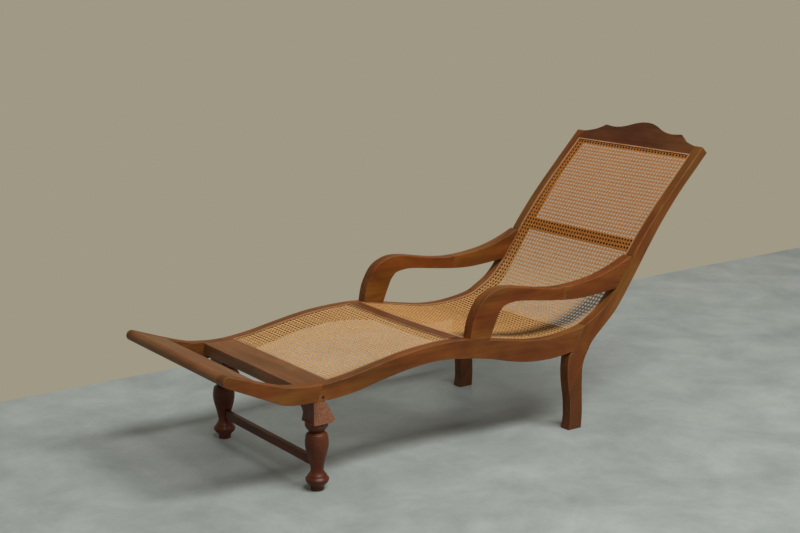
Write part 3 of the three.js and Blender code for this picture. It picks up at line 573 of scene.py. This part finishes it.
CREST_WOOD = WoodFinish(
    name="crest_wood", slot="crest_wood", dark=colour(72, 34, 14), middle=colour(90, 46, 22),
    light=colour(110, 62, 32), worn=colour(156, 104, 68), roughness=0.42, wear=0.5,
)
PEG_WOOD = WoodFinish(
    name="peg_wood", slot="peg_wood", dark=colour(46, 30, 22), middle=colour(62, 42, 32),
    light=colour(84, 62, 50), worn=colour(150, 136, 128), roughness=0.55, wear=0.8,
)
CROSS_WOOD = WoodFinish(
    name="cross_wood", slot="rail_wood", dark=colour(66, 34, 14), middle=colour(84, 46, 22),
    light=colour(104, 60, 30), worn=colour(150, 100, 64), roughness=0.48, wear=0.5,
)
MIDDLE_WOOD = WoodFinish(
    name="middle_wood", slot="board_wood", dark=colour(98, 54, 26), middle=colour(120, 70, 36),
    light=colour(142, 88, 50), worn=colour(180, 130, 90), roughness=0.5, wear=0.5, streaks=0.15,
)
FOOT_CANE = CaneFinish(
    name="foot_cane", slot="cane", dark=colour(184, 130, 68), light=colour(240, 190, 122),
    joint=colour(104, 64, 30), roughness=0.45, weave_shading=1.0,
)
BACK_CANE = CaneFinish(
    name="back_cane", slot="cane", dark=FOOT_CANE.dark, light=FOOT_CANE.light,
    joint=FOOT_CANE.joint, roughness=0.45, weave_shading=1.0, sat_on=0.16, back_age_and_shade=1.0, shine=0.2,
)
BINDER = CaneFinish(
    name="binder", slot="binder", dark=colour(166, 114, 72), light=colour(194, 142, 98),
    joint=colour(118, 78, 48), roughness=0.45,
)
SEAT_BINDER = CaneFinish(
    name="seat_binder", slot="binder", dark=colour(146, 100, 58), light=colour(178, 130, 82),
    joint=colour(104, 68, 38), roughness=0.5,
)


class Paint:
    """Makes each material once and hands it out."""

    made: dict[tuple[str, str], bpy.types.Material] = {}

    @classmethod
    def wood(cls, finish: WoodFinish, grain: Grain) -> bpy.types.Material:
        """Gives a wood finish for one direction of the grain.

        Args:
            finish: The finish.
            grain: Which way the grain runs.

        Returns:
            The material.
        """
        key = (finish.name, grain.name)
        if key not in cls.made:
            cls.made[key] = finish.material(grain)
        return cls.made[key]

    @classmethod
    def cane(cls, finish: CaneFinish) -> bpy.types.Material:
        """Gives a cane finish.

        Args:
            finish: The finish.

        Returns:
            The material.
        """
        key = (finish.name, "")
        if key not in cls.made:
            cls.made[key] = finish.material()
        return cls.made[key]


def add_object(name: str, data: bpy.types.ID) -> bpy.types.Object:
    """Puts a mesh, a lamp or a camera into the scene.

    Args:
        name: What the object is called.
        data: Its data.

    Returns:
        The new object.
    """
    added = bpy.data.objects.new(name, data)
    bpy.context.scene.collection.objects.link(added)
    return added


def keep(mesh: bpy.types.Mesh, name: str, domain: str, values: Iterable[float]) -> None:
    """Keeps one value per point, edge or face of a mesh under a name."""
    mesh.attributes.new(name, "FLOAT", domain).data.foreach_set("value", np.array(list(values), np.float32))


def keep_strand(mesh: bpy.types.Mesh, rows: np.ndarray) -> None:
    """Keeps each point's run along its strand, its share and its level, a row for each point."""
    kept = mesh.attributes.new(STRAND, "FLOAT_VECTOR", "POINT")
    kept.data.foreach_set("vector", rows.astype(np.float32).ravel())


def stand_in(piece: bpy.types.Object, slot: str, *nodes: str) -> None:
    """Sets a new piece on the chair in place of its nodes.

    Args:
        piece: The piece, already in its place.
        slot: The record's material slot. It is not used.
        nodes: The CAD nodes that it stands for.
    """
    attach(piece, BODY)
    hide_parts(*nodes)
    log.info("%s stands for %s", piece.name, ", ".join(nodes))


@dataclass(frozen=True)
class Arris:
    """How a wooden piece's edges are rounded.

    Its free edges get one radius and its edges along the seams with some neighbours a smaller one. The
    seams with the pale neighbours are rubbed as well.
    """

    free: float = 0.0022
    joint: float = 0.0011
    steps: int = 3
    shortest: float = 0.0
    seams: tuple[str, ...] = ()
    pale: tuple[str, ...] = ()


@dataclass
class WoodPiece:
    """A wooden CAD node, rebuilt with rounded and rubbed edges."""

    node: str
    finish: WoodFinish
    grain: Grain
    arris: Arris = Arris()
    smooth_angle: float = math.radians(38)
    flat_angle: float = math.radians(0.3)
    weld: float = 0.00002
    touching: float = 0.0008
    seam_shortest: float = 0.004
    seam_reach: float = 0.0016
    edge_shares: tuple[float, ...] = (0.2, 0.5, 0.8)
    free_wear: float = 0.4
    joint_wear: float = 2.2

    def dress(self) -> None:
        """Builds the piece and sets it in place of its node."""
        stand_in(self.build(), self.finish.slot, self.node)

    def build(self) -> bpy.types.Object:
        """Makes the piece.

        Returns:
            The new object.
        """
        bm = bmesh.new()
        bm.from_mesh(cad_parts[self.node].data)
        bmesh.ops.remove_doubles(bm, verts=bm.verts, dist=self.weld)
        bmesh.ops.dissolve_limit(bm, angle_limit=self.flat_angle, verts=bm.verts, edges=bm.edges)
        bm.normal_update()
        weights = [self.weight(edge) for edge in bm.edges]
        mesh = bpy.data.meshes.new(self.node + "_wood")
        bm.to_mesh(mesh)
        bm.free()
        keep(mesh, "bevel_weight_edge", "EDGE", weights)
        piece = add_object(mesh.name, mesh)
        material = self.paint()
        self.round_edges(piece, material)
        self.settle(piece, material)
        return piece

    def paint(self) -> bpy.types.Material:
        """Gives the piece's material."""
        return Paint.wood(self.finish, self.grain)

    def round_edges(self, piece: bpy.types.Object, material: bpy.types.Material) -> None:
        """Rounds the edges. The new faces get the second material slot, which settle() finds them by.

        Args:
            piece: The piece with its edges' weights.
            material: The piece's material.
        """
        piece.data.materials.append(material)
        piece.data.materials.append(material)
        bevel = piece.modifiers.new("arrises", "BEVEL")
        bevel.limit_method = "WEIGHT"
        bevel.width = self.arris.free
        bevel.segments = self.arris.steps
        bevel.use_clamp_overlap = False
        bevel.material = 1

    def weight(self, edge: bmesh.types.BMEdge) -> float:
        """Says how strongly an edge is rounded.

        Args:
            edge: An edge of the piece.

        Returns:
            A share of the free edges' radius.
        """
        if len(edge.link_faces) != 2 or not edge.is_convex or edge.calc_face_angle() < self.smooth_angle:
            return 0.0
        length = edge.calc_length()
        if length < self.arris.shortest:
            return 0.0
        start, end = (v.co for v in edge.verts)
        spots = [start.lerp(end, share) for share in self.edge_shares]
        beside = set().union(*(Neighbours.near(spot, self.node, self.touching) for spot in spots))
        if not beside:
            return 1.0
        if beside & set(self.arris.seams) and length > self.seam_shortest:
            return self.arris.joint / self.arris.free
        return 0.0

    def settle(self, piece: bpy.types.Object, material: bpy.types.Material) -> None:
        """Takes the rounded mesh over, marks its rubbed faces and smooths it.

        Args:
            piece: The piece with its bevel.
            material: The piece's material.
        """
        graph = bpy.context.evaluated_depsgraph_get()
        rounded = bpy.data.meshes.new_from_object(piece.evaluated_get(graph))
        piece.modifiers.clear()
        square = piece.data
        piece.data = rounded
        bpy.data.meshes.remove(square)
        rounded.name = piece.name
        rubbed = np.zeros(len(rounded.polygons), np.int32)
        rounded.polygons.foreach_get("material_index", rubbed)
        rounded.materials.clear()
        rounded.materials.append(material)
        rounded.polygons.foreach_set("material_index", np.zeros(len(rubbed), np.int32))
        keep(rounded, WORN, "FACE", self.wear(rounded, rubbed))
        keep(rounded, PLANK, "POINT", [share_of(self.node)] * len(rounded.vertices))
        rounded.shade_smooth()
        rounded.set_sharp_from_angle(angle=self.smooth_angle)
        piece.modifiers.new("facing", "WEIGHTED_NORMAL").keep_sharp = True

    def wear(self, mesh: bpy.types.Mesh, rubbed: np.ndarray) -> np.ndarray:
        """Says how worn each face is. The arrises of some joints are rubbed more than free ones.

        Args:
            mesh: The rounded mesh.
            rubbed: 1 for each face of an arris and 0 for the others.

        Returns:
            The wear of each face.
        """
        worn = rubbed * self.free_wear
        for i in np.flatnonzero(rubbed):
            if Neighbours.touch(mesh.polygons[i].center, self.arris.pale, self.node, self.seam_reach):
                worn[i] = self.joint_wear
        return worn.astype(np.float32)


class Neighbours:
    """Finds which CAD nodes lie close to a point."""

    trees: dict[str, BVHTree] = {}

    @classmethod
    def near(cls, point: Vector, node: str, reach: float) -> set[str]:
        """Names the nodes other than one's own within a reach of a point.

        Args:
            point: The point.
            node: The node that is left out.
            reach: The reach.

        Returns:
            The names.
        """
        others = (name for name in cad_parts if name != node)
        return {name for name in others if cls.tree(name).find_nearest(point, reach)[0]}

    @classmethod
    def touch(cls, point: Vector, names: Iterable[str], node: str, reach: float) -> bool:
        """Says whether one of some nodes, other than one's own, lies within a reach of a point.

        Args:
            point: The point.
            names: The nodes.
            node: The node that is left out.
            reach: The reach.

        Returns:
            Whether one of them does.
        """
        return any(name != node and cls.tree(name).find_nearest(point, reach)[0] for name in names)

    @classmethod
    def tree(cls, name: str) -> BVHTree:
        """Gives a node's search tree, made once.

        Args:
            name: The node.

        Returns:
            The tree.
        """
        if name not in cls.trees:
            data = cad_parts[name].data
            corners = [v.co for v in data.vertices]
            cls.trees[name] = BVHTree.FromPolygons(corners, [p.vertices for p in data.polygons])
        return cls.trees[name]


@dataclass
class LegPiece(WoodPiece):
    """A front leg, whose arrises and the outer face of whose block are rubbed."""

    free_wear: float = 1.0
    face_wear: float = 0.8
    block_bottom: float = 0.206
    outward: float = 0.6

    def wear(self, mesh: bpy.types.Mesh, rubbed: np.ndarray) -> np.ndarray:
        """Says how worn each face is.

        Args:
            mesh: The rounded mesh.
            rubbed: 1 for each face of an arris and 0 for the others.

        Returns:
            The wear of each face.
        """
        worn = (rubbed * self.free_wear).astype(np.float32)
        for polygon in mesh.polygons:
            facing = polygon.normal.x * math.copysign(1, polygon.center.x)
            if not rubbed[polygon.index] and polygon.center.z > self.block_bottom and facing > self.outward:
                worn[polygon.index] = self.face_wear
        return worn


@dataclass
class SideFrame:
    """One side of the chair: its two rail lengths, its back post, and the pegs and dowels in them."""

    side: str
    arris: float = 0.0022
    peg_arris: float = 0.0004
    peg_steps: int = 2
    lengths: tuple[str, ...] = ("side_rail_foot", "side_rail_seat", "back_post")
    dowels: tuple[str, ...] = (
        "rail_scarf_dowel", "knee_dowel_upper", "knee_dowel_lower", "arm_dowel_upper", "arm_dowel_lower",
    )

    def dress(self) -> None:
        """Makes the side's pieces and sets them on the chair."""
        seams = tuple(f"{name}_{self.side}" for name in self.lengths)
        foot_rail, seat_rail, post = seams
        plain = Arris(free=self.arris, seams=seams)
        pale_knee = Arris(free=self.arris, seams=seams, pale=(post,))
        WoodPiece(foot_rail, RAIL_WOOD, Grain.ALONG, plain).dress()
        WoodPiece(seat_rail, RAIL_WOOD, Grain.ALONG, pale_knee).dress()
        WoodPiece(post, RAIL_WOOD, Grain.RAKED, plain).dress()
        peg = Arris(free=self.peg_arris, steps=self.peg_steps)
        WoodPiece(f"leg_peg_{self.side}", PEG_WOOD, Grain.ACROSS, peg).dress()
        for name in self.dowels:
            self.finish_dowel(f"{name}_{self.side}")

    @staticmethod
    def finish_dowel(node: str) -> None:
        """Gives a dowel inside a joint the finish of its wood.

        Args:
            node: The dowel's node, whose solid stays.
        """
        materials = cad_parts[node].data.materials
        materials.clear()
        materials.append(Paint.wood(PEG_WOOD, Grain.ALONG))
        log.info("%s keeps its solid", node)


@dataclass
class Arm:
    """One arm, in a front length with its foot and a rear length."""

    side: str
    arris: float = 0.0026

    def dress(self) -> None:
        """Makes the arm's two lengths and sets them on the chair."""
        names = (f"arm_front_{self.side}", f"arm_rear_{self.side}")
        arris = Arris(free=self.arris, seams=names, pale=names)
        for name in names:
            WoodPiece(name, ARM_WOOD, Grain.ALONG, arris).dress()


@dataclass
class FrontLegs:
    """The two turned front legs and the stretcher between them."""

    arris: float = 0.0014
    turned_edge: float = 0.0058

    def dress(self) -> None:
        """Makes the legs and the stretcher. The short edges round a turned leg stay as they are."""
        block = Arris(free=self.arris, shortest=self.turned_edge)
        for side in SIDES:
            LegPiece(f"front_leg_{side}", TURNED_WOOD, Grain.UPRIGHT, block).dress()
        WoodPiece("front_stretcher", TURNED_WOOD, Grain.ACROSS, Arris(free=self.arris)).dress()


@dataclass
class CrossPieces:
    """The boards and rails that join the two sides."""

    board_arris: float = 0.003
    slat_arris: float = 0.0016
    crest_arris: float = 0.002

    def dress(self) -> None:
        """Makes the cross pieces and sets them on the chair."""
        pieces = (
            ("foot_bar", BOARD_WOOD, self.board_arris),
            ("foot_board", BOARD_WOOD, self.board_arris),
            ("middle_rail", MIDDLE_WOOD, self.slat_arris),
            ("seat_cross_rail", CROSS_WOOD, self.slat_arris),
            ("back_cross_rail", CROSS_WOOD, self.slat_arris),
            ("crest_rail", CREST_WOOD, self.crest_arris),
        )
        for node, finish, arris in pieces:
            WoodPiece(node, finish, Grain.ACROSS, Arris(free=arris)).dress()


class CaneBed:
    """The bent surface that a cane panel lies in, measured on the grid of the node that it stands for."""

    STEP = 0.004
    SLOPE_REACH = 0.003
    DIGITS = 6

    def __init__(self, node: str) -> None:
        """Measures the surface.

        Args:
            node: The cane's CAD node.
        """
        corners = [[round(c, self.DIGITS) for c in v.co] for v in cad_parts[node].data.vertices]
        places = np.unique(corners, axis=0)
        columns = [places[places[:, 0] == x] for x in np.unique(places[:, 0])]
        grid = np.array([self.middle(column) for column in columns])
        runs = self.run_along(grid[0])
        self.length = float(runs[-1])
        self.half_width = float(grid[-1, 0, 0])
        self.runs = np.linspace(0.0, self.length, round(self.length / self.STEP))
        self.xs = np.linspace(-self.half_width, self.half_width, round(2 * self.half_width / self.STEP))
        along = self.smooth(runs, grid, self.runs)
        self.table = self.smooth(grid[:, 0, 0], along.transpose(1, 0, 2), self.xs)

    @staticmethod
    def middle(column: np.ndarray) -> np.ndarray:
        """Finds the middle of the sheet's thickness along one line of the grid."""
        by_run = column[np.argsort(column[:, 1])]
        return by_run.reshape(-1, 2, 3).mean(axis=1)

    @staticmethod
    def run_along(points: np.ndarray) -> np.ndarray:
        """Adds up the lengths along a line of points."""
        return np.concatenate([[0.0], np.cumsum(np.linalg.norm(np.diff(points, axis=0), axis=1))])

    @staticmethod
    def smooth(knots: np.ndarray, rows: np.ndarray, at: np.ndarray) -> np.ndarray:
        """Runs a smooth curve through points.

        Args:
            knots: The places of the points along the curve.
            rows: Rows of points, each as many as there are knots.
            at: The places wanted.

        Returns:
            Rows of the curve's points there.
        """
        slopes = np.gradient(rows, knots, axis=1)
        i = np.clip(np.searchsorted(knots, at) - 1, 0, len(knots) - 2)
        width = (knots[i + 1] - knots[i])[None, :, None]
        t = ((at - knots[i])[None, :, None]) / width
        start = rows[:, i] * (1 + 2 * t) * (1 - t) ** 2 + slopes[:, i] * width * t * (1 - t) ** 2
        return start + rows[:, i + 1] * t * t * (3 - 2 * t) + slopes[:, i + 1] * width * t * t * (t - 1)

    def points(self, x: np.ndarray, run: np.ndarray) -> tuple[np.ndarray, np.ndarray]:
        """Finds places on the surface.

        Args:
            x: Places across the chair.
            run: Runs along the panel from its first end.

        Returns:
            The points and the surface's normals there, a row each.
        """
        reach = self.SLOPE_REACH
        across = self.at(x + reach, run) - self.at(x - reach, run)
        along = self.at(x, run + reach) - self.at(x, run - reach)
        normals = np.cross(across, along)
        normals /= np.linalg.norm(normals, axis=1)[:, None]
        return self.at(x, run), normals

    def at(self, x: np.ndarray, run: np.ndarray) -> np.ndarray:
        """Reads points off the surface. Past its edges it gives the edge.

        Args:
            x: Places across the chair.
            run: Runs along the panel from its first end.

        Returns:
            The points, a row each.
        """
        column = np.interp(x, self.xs, np.arange(len(self.xs)))
        row = np.interp(run, self.runs, np.arange(len(self.runs)))
        c = np.minimum(column.astype(int), len(self.xs) - 2)
        r = np.minimum(row.astype(int), len(self.runs) - 2)
        across, along = (column - c)[:, None], (row - r)[:, None]
        near = self.table[r, c] * (1 - across) + self.table[r, c + 1] * across
        far = self.table[r + 1, c] * (1 - across) + self.table[r + 1, c + 1] * across
        return near * (1 - along) + far * along


class Strands:
    """A set of flat cane strands in one mesh."""

    # The corners of a strand's section, in widths across and thicknesses up
    SECTION = ((-0.5, -0.35), (0.5, -0.35), (0.32, 0.5), (-0.32, 0.5))
    SMOOTH_ANGLE = math.radians(50)

    def __init__(self, name: str, width: float, thickness: float) -> None:
        """Starts an empty set.

        Args:
            name: What the set is called.
            width: A strand's width.
            thickness: A strand's thickness.
        """
        self.name = name
        self.thickness = thickness
        self.section = np.array([(x * width, z * thickness) for x, z in self.SECTION])
        self.corners: list[np.ndarray] = []
        self.rows: list[np.ndarray] = []
        self.faces: list[tuple[int, ...]] = []
        self.count = 0

    def add(self, points: np.ndarray, normals: np.ndarray, levels: np.ndarray, share: float) -> None:
        """Adds a strand along a line.

        Args:
            points: The line's points, a row each.
            normals: The surface's normals there.
            levels: The points' heights in the weave, in thicknesses of a strand.
            share: The strand's own share from 0 to 1, for its tone.
        """
        sides = np.cross(np.gradient(points, axis=0), normals)
        sides /= np.linalg.norm(sides, axis=1)[:, None]
        across, up = self.section[:, 0], self.section[:, 1]
        over = normals[:, None] * up[None, :, None]
        ring = points[:, None] + sides[:, None] * across[None, :, None] + over
        self.corners.append(ring.reshape(-1, 3))
        rows = np.zeros(ring.shape)
        rows[:, :, 0] = CaneBed.run_along(points)[:, None] + share
        rows[:, :, 1] = share * SHARE_SPREAD + across[None]
        rows[:, :, 2] = levels[:, None] + up[None] / self.thickness
        self.rows.append(rows.reshape(-1, 3))
        self.skin(len(points))

    def skin(self, rings: int) -> None:
        """Closes the last strand with its long faces and its two ends.

        Args:
            rings: How many rings of corners it has.
        """
        around = len(self.section)
        start = self.count
        for ring in range(rings - 1):
            a = start + ring * around
            for s in range(around):
                t = (s + 1) % around
                self.faces.append((a + s, a + s + around, a + t + around, a + t))
        end = start + (rings - 1) * around
        self.faces.append(tuple(start + s for s in range(around)))
        self.faces.append(tuple(end + s for s in reversed(range(around))))
        self.count += rings * around

    def build(self, material: bpy.types.Material) -> bpy.types.Object:
        """Makes the object.

        Args:
            material: The strands' material.

        Returns:
            The new object.
        """
        mesh = bpy.data.meshes.new(self.name)
        mesh.from_pydata(np.concatenate(self.corners).tolist(), [], self.faces)
        keep_strand(mesh, np.concatenate(self.rows))
        mesh.materials.append(material)
        mesh.shade_smooth()
        mesh.set_sharp_from_angle(angle=self.SMOOTH_ANGLE)
        mesh.validate()
        return add_object(self.name, mesh)


@dataclass
class CanePanel:
    """One caned opening in the open six-way pattern.

    Each mesh of the pattern has a pair of strands along the chair, a pair across it and a strand along
    each diagonal. The pairs are woven into each other. One diagonal passes over the lengthwise pairs and
    under the crosswise ones, and the other diagonal the other way round.
    """

    node: str
    binders: tuple[str, ...]
    cane: CaneFinish
    binder: CaneFinish
    clear_half_width: float = 0.271
    cover: float = 0.0057
    columns: int = 38
    strand_width: float = 0.0017
    strand_thickness: float = 0.0005
    pair_share: float = 0.095
    crossing: float = 0.5
    fewest_points: int = 3

    def dress(self) -> None:
        """Weaves the panel and sets it and its binder strips on the chair."""
        self.bed = CaneBed(self.node)
        self.pitch = 2 * self.clear_half_width / self.columns
        clear = self.bed.length - 2 * self.cover
        self.rows = round(clear / self.pitch)
        self.row_pitch = clear / self.rows
        for strands in (self.lengthwise(), self.crosswise(), self.diagonal(1), self.diagonal(-1)):
            stand_in(strands.build(Paint.cane(self.cane)), self.cane.slot, self.node)
        log.info("%s has %d by %d meshes of %.1f mm", self.node, self.columns, self.rows, 1000 * self.pitch)
        for name in self.binders:
            BinderStrip(name, self.binder).dress()

    def strands(self, name: str) -> Strands:
        """Starts a set of strands of the panel."""
        return Strands(f"{self.node}_{name}", self.strand_width, self.strand_thickness)

    def laid(self, column: np.ndarray, row: np.ndarray, level: np.ndarray) -> tuple[np.ndarray, np.ndarray]:
        """Finds places in the pattern.

        Args:
            column: Places across, in meshes from the right edge of the opening.
            row: Places along, in meshes from its first end.
            level: Heights over the panel's middle, in thicknesses of a strand.

        Returns:
            The points and the surface's normals there.
        """
        x = column * self.pitch - self.clear_half_width
        points, normals = self.bed.points(x, self.cover + row * self.row_pitch)
        return points + normals * (level * self.strand_thickness)[:, None], normals

    def wave(self, meshes: int, pitch: float) -> tuple[np.ndarray, np.ndarray]:
        """Gives the places of a woven strand's points and its levels there, for one of a pair.

        Args:
            meshes: How many meshes it passes.
            pitch: The length of a mesh.

        Returns:
            Places in meshes, and levels in thicknesses.
        """
        ends = self.cover / pitch
        places, levels = [-ends], [0.0]
        for i in range(meshes):
            if i:
                places += [i - self.pair_share, i + self.pair_share]
                levels += [self.crossing, -self.crossing]
            places.append(i + 0.5)
            levels.append(0.0)
        return np.array([*places, meshes + ends]), np.array([*levels, 0.0])

    def pairs(self, name: str, count: int, places: np.ndarray, levels: np.ndarray, across: bool) -> Strands:
        """Makes the pairs of strands of one direction.

        Args:
            name: What the set is called.
            count: How many meshes the panel has square to them.
            places: The places of a strand's points.
            levels: The levels of the first strand of each pair.
            across: Whether they run across the chair.

        Returns:
            The strands.
        """
        strands = self.strands(name)
        for i in range(1, count):
            for sign in (-1, 1):
                line = np.full(len(places), i + sign * self.pair_share)
                level = levels * (sign if across else -sign)
                points = self.laid(places, line, level) if across else self.laid(line, places, level)
                strands.add(*points, level, share_of(f"{name} {i} {sign}"))
        return strands

    def lengthwise(self) -> Strands:
        """Makes the pairs that run along the chair."""
        return self.pairs("lengthwise", self.columns, *self.wave(self.rows, self.row_pitch), False)

    def crosswise(self) -> Strands:
        """Makes the pairs that run across the chair."""
        return self.pairs("crosswise", self.rows, *self.wave(self.columns, self.pitch), True)

    def diagonal(self, sign: int) -> Strands:
        """Makes the strands of one diagonal.

        Args:
            sign: 1 for those that run to the left towards the back, -1 for the others.

        Returns:
            The strands.
        """
        rising = sign > 0
        name = "rising" if rising else "falling"
        strands = self.strands(name)
        edge, end = self.cover / self.pitch, self.cover / self.row_pitch
        offsets = (-self.pair_share, self.pair_share, 0.5 - self.pair_share, 0.5 + self.pair_share)
        heights = (sign, sign, -sign, -sign)
        ticks = [(i + o, h) for i in range(-1, self.columns + 1) for o, h in zip(offsets, heights)]
        starts = range(-self.rows - 1, self.columns + 1) if rising else range(self.columns + self.rows)
        for k in starts:
            line = [(a, (a - k - 0.5) if rising else (k + 0.5 - a), h) for a, h in ticks]
            wide = [p for p in line if -edge < p[0] < self.columns + edge]
            inside = [p for p in wide if -end < p[1] < self.rows + end]
            if len(inside) >= self.fewest_points:
                column, row, level = np.array(inside).T
                strands.add(*self.laid(column, row, level), level, share_of(f"{name} {k}"))
        return strands


@dataclass
class BinderStrip(WoodPiece):
    """A strip of flat cane over the edge of a panel."""

    finish: CaneFinish = BINDER
    grain: Grain = Grain.ALONG
    arris: Arris = Arris(free=0.0005, steps=2)
    facing_up: float = 0.5
    running_across: float = 0.9
    slope_stretch: float = 1.2

    @property
    def long_axis(self) -> int:
        """The axis that the strip runs along: 0 across the chair, 1 along it."""
        return 0 if self.node.endswith(("front", "rear", "top")) else 1

    def paint(self) -> bpy.types.Material:
        """Gives the strip's material."""
        return Paint.cane(self.finish)

    def weight(self, edge: bmesh.types.BMEdge) -> float:
        """Rounds the two upper long edges.

        Args:
            edge: An edge of the strip.

        Returns:
            1 for an edge that is rounded, or 0.
        """
        if len(edge.link_faces) != 2 or edge.calc_face_angle() < self.smooth_angle:
            return 0.0
        top = any(face.normal.z > self.facing_up for face in edge.link_faces)
        start, end = (v.co for v in edge.verts)
        sideways = abs((end - start).normalized().x)
        short = sideways > self.running_across if self.long_axis else sideways < self.running_across
        return 0.0 if short or not top else 1.0

    def settle(self, piece: bpy.types.Object, material: bpy.types.Material) -> None:
        """Takes the rounded mesh over and keeps each point's run along the strip.

        Args:
            piece: The strip with its bevel.
            material: The strip's material.
        """
        super().settle(piece, material)
        share = share_of(self.node)
        places = np.array([v.co[:] for v in piece.data.vertices])
        runs = places[:, self.long_axis] * self.slope_stretch + share
        across = share * SHARE_SPREAD + places[:, 1 - self.long_axis]
        keep_strand(piece.data, np.stack([runs, across, np.zeros(len(places))], axis=1))


@dataclass
class Studio:
    """The floor, the light and the camera."""

    backdrop_x: float = -1.1
    backdrop_lean: float = -0.0356
    backdrop_tone: Colour = colour(160, 153, 134)
    floor_reach: float = 9.0
    floor_finish: FloorFinish = FloorFinish()
    fill: float = 0.19
    fill_tone: Colour = colour(250, 250, 246)
    key_turn: float = math.radians(2)
    key_height: float = math.radians(56.5)
    key_distance: float = 9.0
    key_size: Pair = (7.0, 2.2)
    key_power: float = 820.0
    key_target: Triple = (0.0, 0.0, 0.35)
    camera_place: Triple = (3.6062, -2.6989, 1.5164)
    camera_tilt: float = math.radians(90 - 12.32)
    camera_heading: float = math.radians(54.69)
    lens: float = 64.0
    sensor: float = 36.0

    def build(self) -> None:
        """Makes the studio."""
        self.floor()
        self.key()
        self.sky()
        self.camera()
        bpy.context.scene.view_settings.view_transform = "Standard"

    def floor(self) -> None:
        """Lays a plain pale floor that ends at the foot of the backdrop."""
        reach = self.floor_reach
        near, far = ((self.backdrop_x + self.backdrop_lean * y, y, 0.0) for y in (-reach, reach))
        mesh = bpy.data.meshes.new("floor")
        mesh.from_pydata([near, (reach, -reach, 0.0), (reach, reach, 0.0), far], [], [(0, 1, 2, 3)])
        mesh.materials.append(self.floor_finish.material())
        add_object("floor", mesh)

    def key(self) -> None:
        """Hangs one soft bank of light high over the chair's near side, as long as the chair and more."""
        flat = math.cos(self.key_height)
        ray = (flat * math.cos(self.key_turn), flat * math.sin(self.key_turn), math.sin(self.key_height))
        data = bpy.data.lights.new("key", "AREA")
        data.shape = "RECTANGLE"
        data.size, data.size_y = self.key_size
        data.energy = self.key_power
        lamp = add_object("key", data)
        lamp.location = Vector(self.key_target) + Vector(ray) * self.key_distance
        towards = Vector(self.key_target) - lamp.location
        lamp.rotation_euler = towards.to_track_quat("-Z", "Y").to_euler()

    def sky(self) -> None:
        """Fills the room with even light, and shows the backdrop's colour behind the chair."""
        world = bpy.data.worlds.new("studio")
        bpy.context.scene.world = world
        world.use_nodes = True
        nodes = Nodes(world.node_tree)
        light = nodes.node("ShaderNodeBackground", {"Color": self.fill_tone, "Strength": self.fill})
        backdrop = nodes.node("ShaderNodeBackground", {"Color": self.backdrop_tone})
        ray = nodes.node("ShaderNodeLightPath").outputs
        seen = nodes.larger(ray["Is Camera Ray"], ray["Is Transmission Ray"])
        seen = nodes.larger(seen, ray["Is Glossy Ray"])
        shown = nodes.node("ShaderNodeMixShader", {0: seen, 1: light.outputs[0], 2: backdrop.outputs[0]})
        nodes.node("ShaderNodeOutputWorld", {"Surface": shown.outputs[0]})

    def camera(self) -> None:
        """Sets the camera up."""
        data = bpy.data.cameras.new("camera")
        data.lens = self.lens
        data.sensor_width = self.sensor
        camera = add_object("camera", data)
        camera.location = self.camera_place
        camera.rotation_euler = (self.camera_tilt, 0.0, self.camera_heading)
        bpy.context.scene.camera = camera


def main() -> None:
    """Builds the chair and its studio in order."""
    logging.basicConfig(level=logging.INFO, format="%(name)s: %(message)s")
    for side in SIDES:
        SideFrame(side).dress()
        Arm(side).dress()
    FrontLegs().dress()
    CrossPieces().dress()
    ends = {"foot_cane": (*SIDES, "front", "rear"), "back_cane": (*SIDES, "front", "top")}
    for panel, cane, binder in (("foot_cane", FOOT_CANE, SEAT_BINDER), ("back_cane", BACK_CANE, BINDER)):
        CanePanel(panel, tuple(f"{panel}_binder_{end}" for end in ends[panel]), cane, binder).dress()
    Studio().build()


if __name__ == "__main__":
    main()
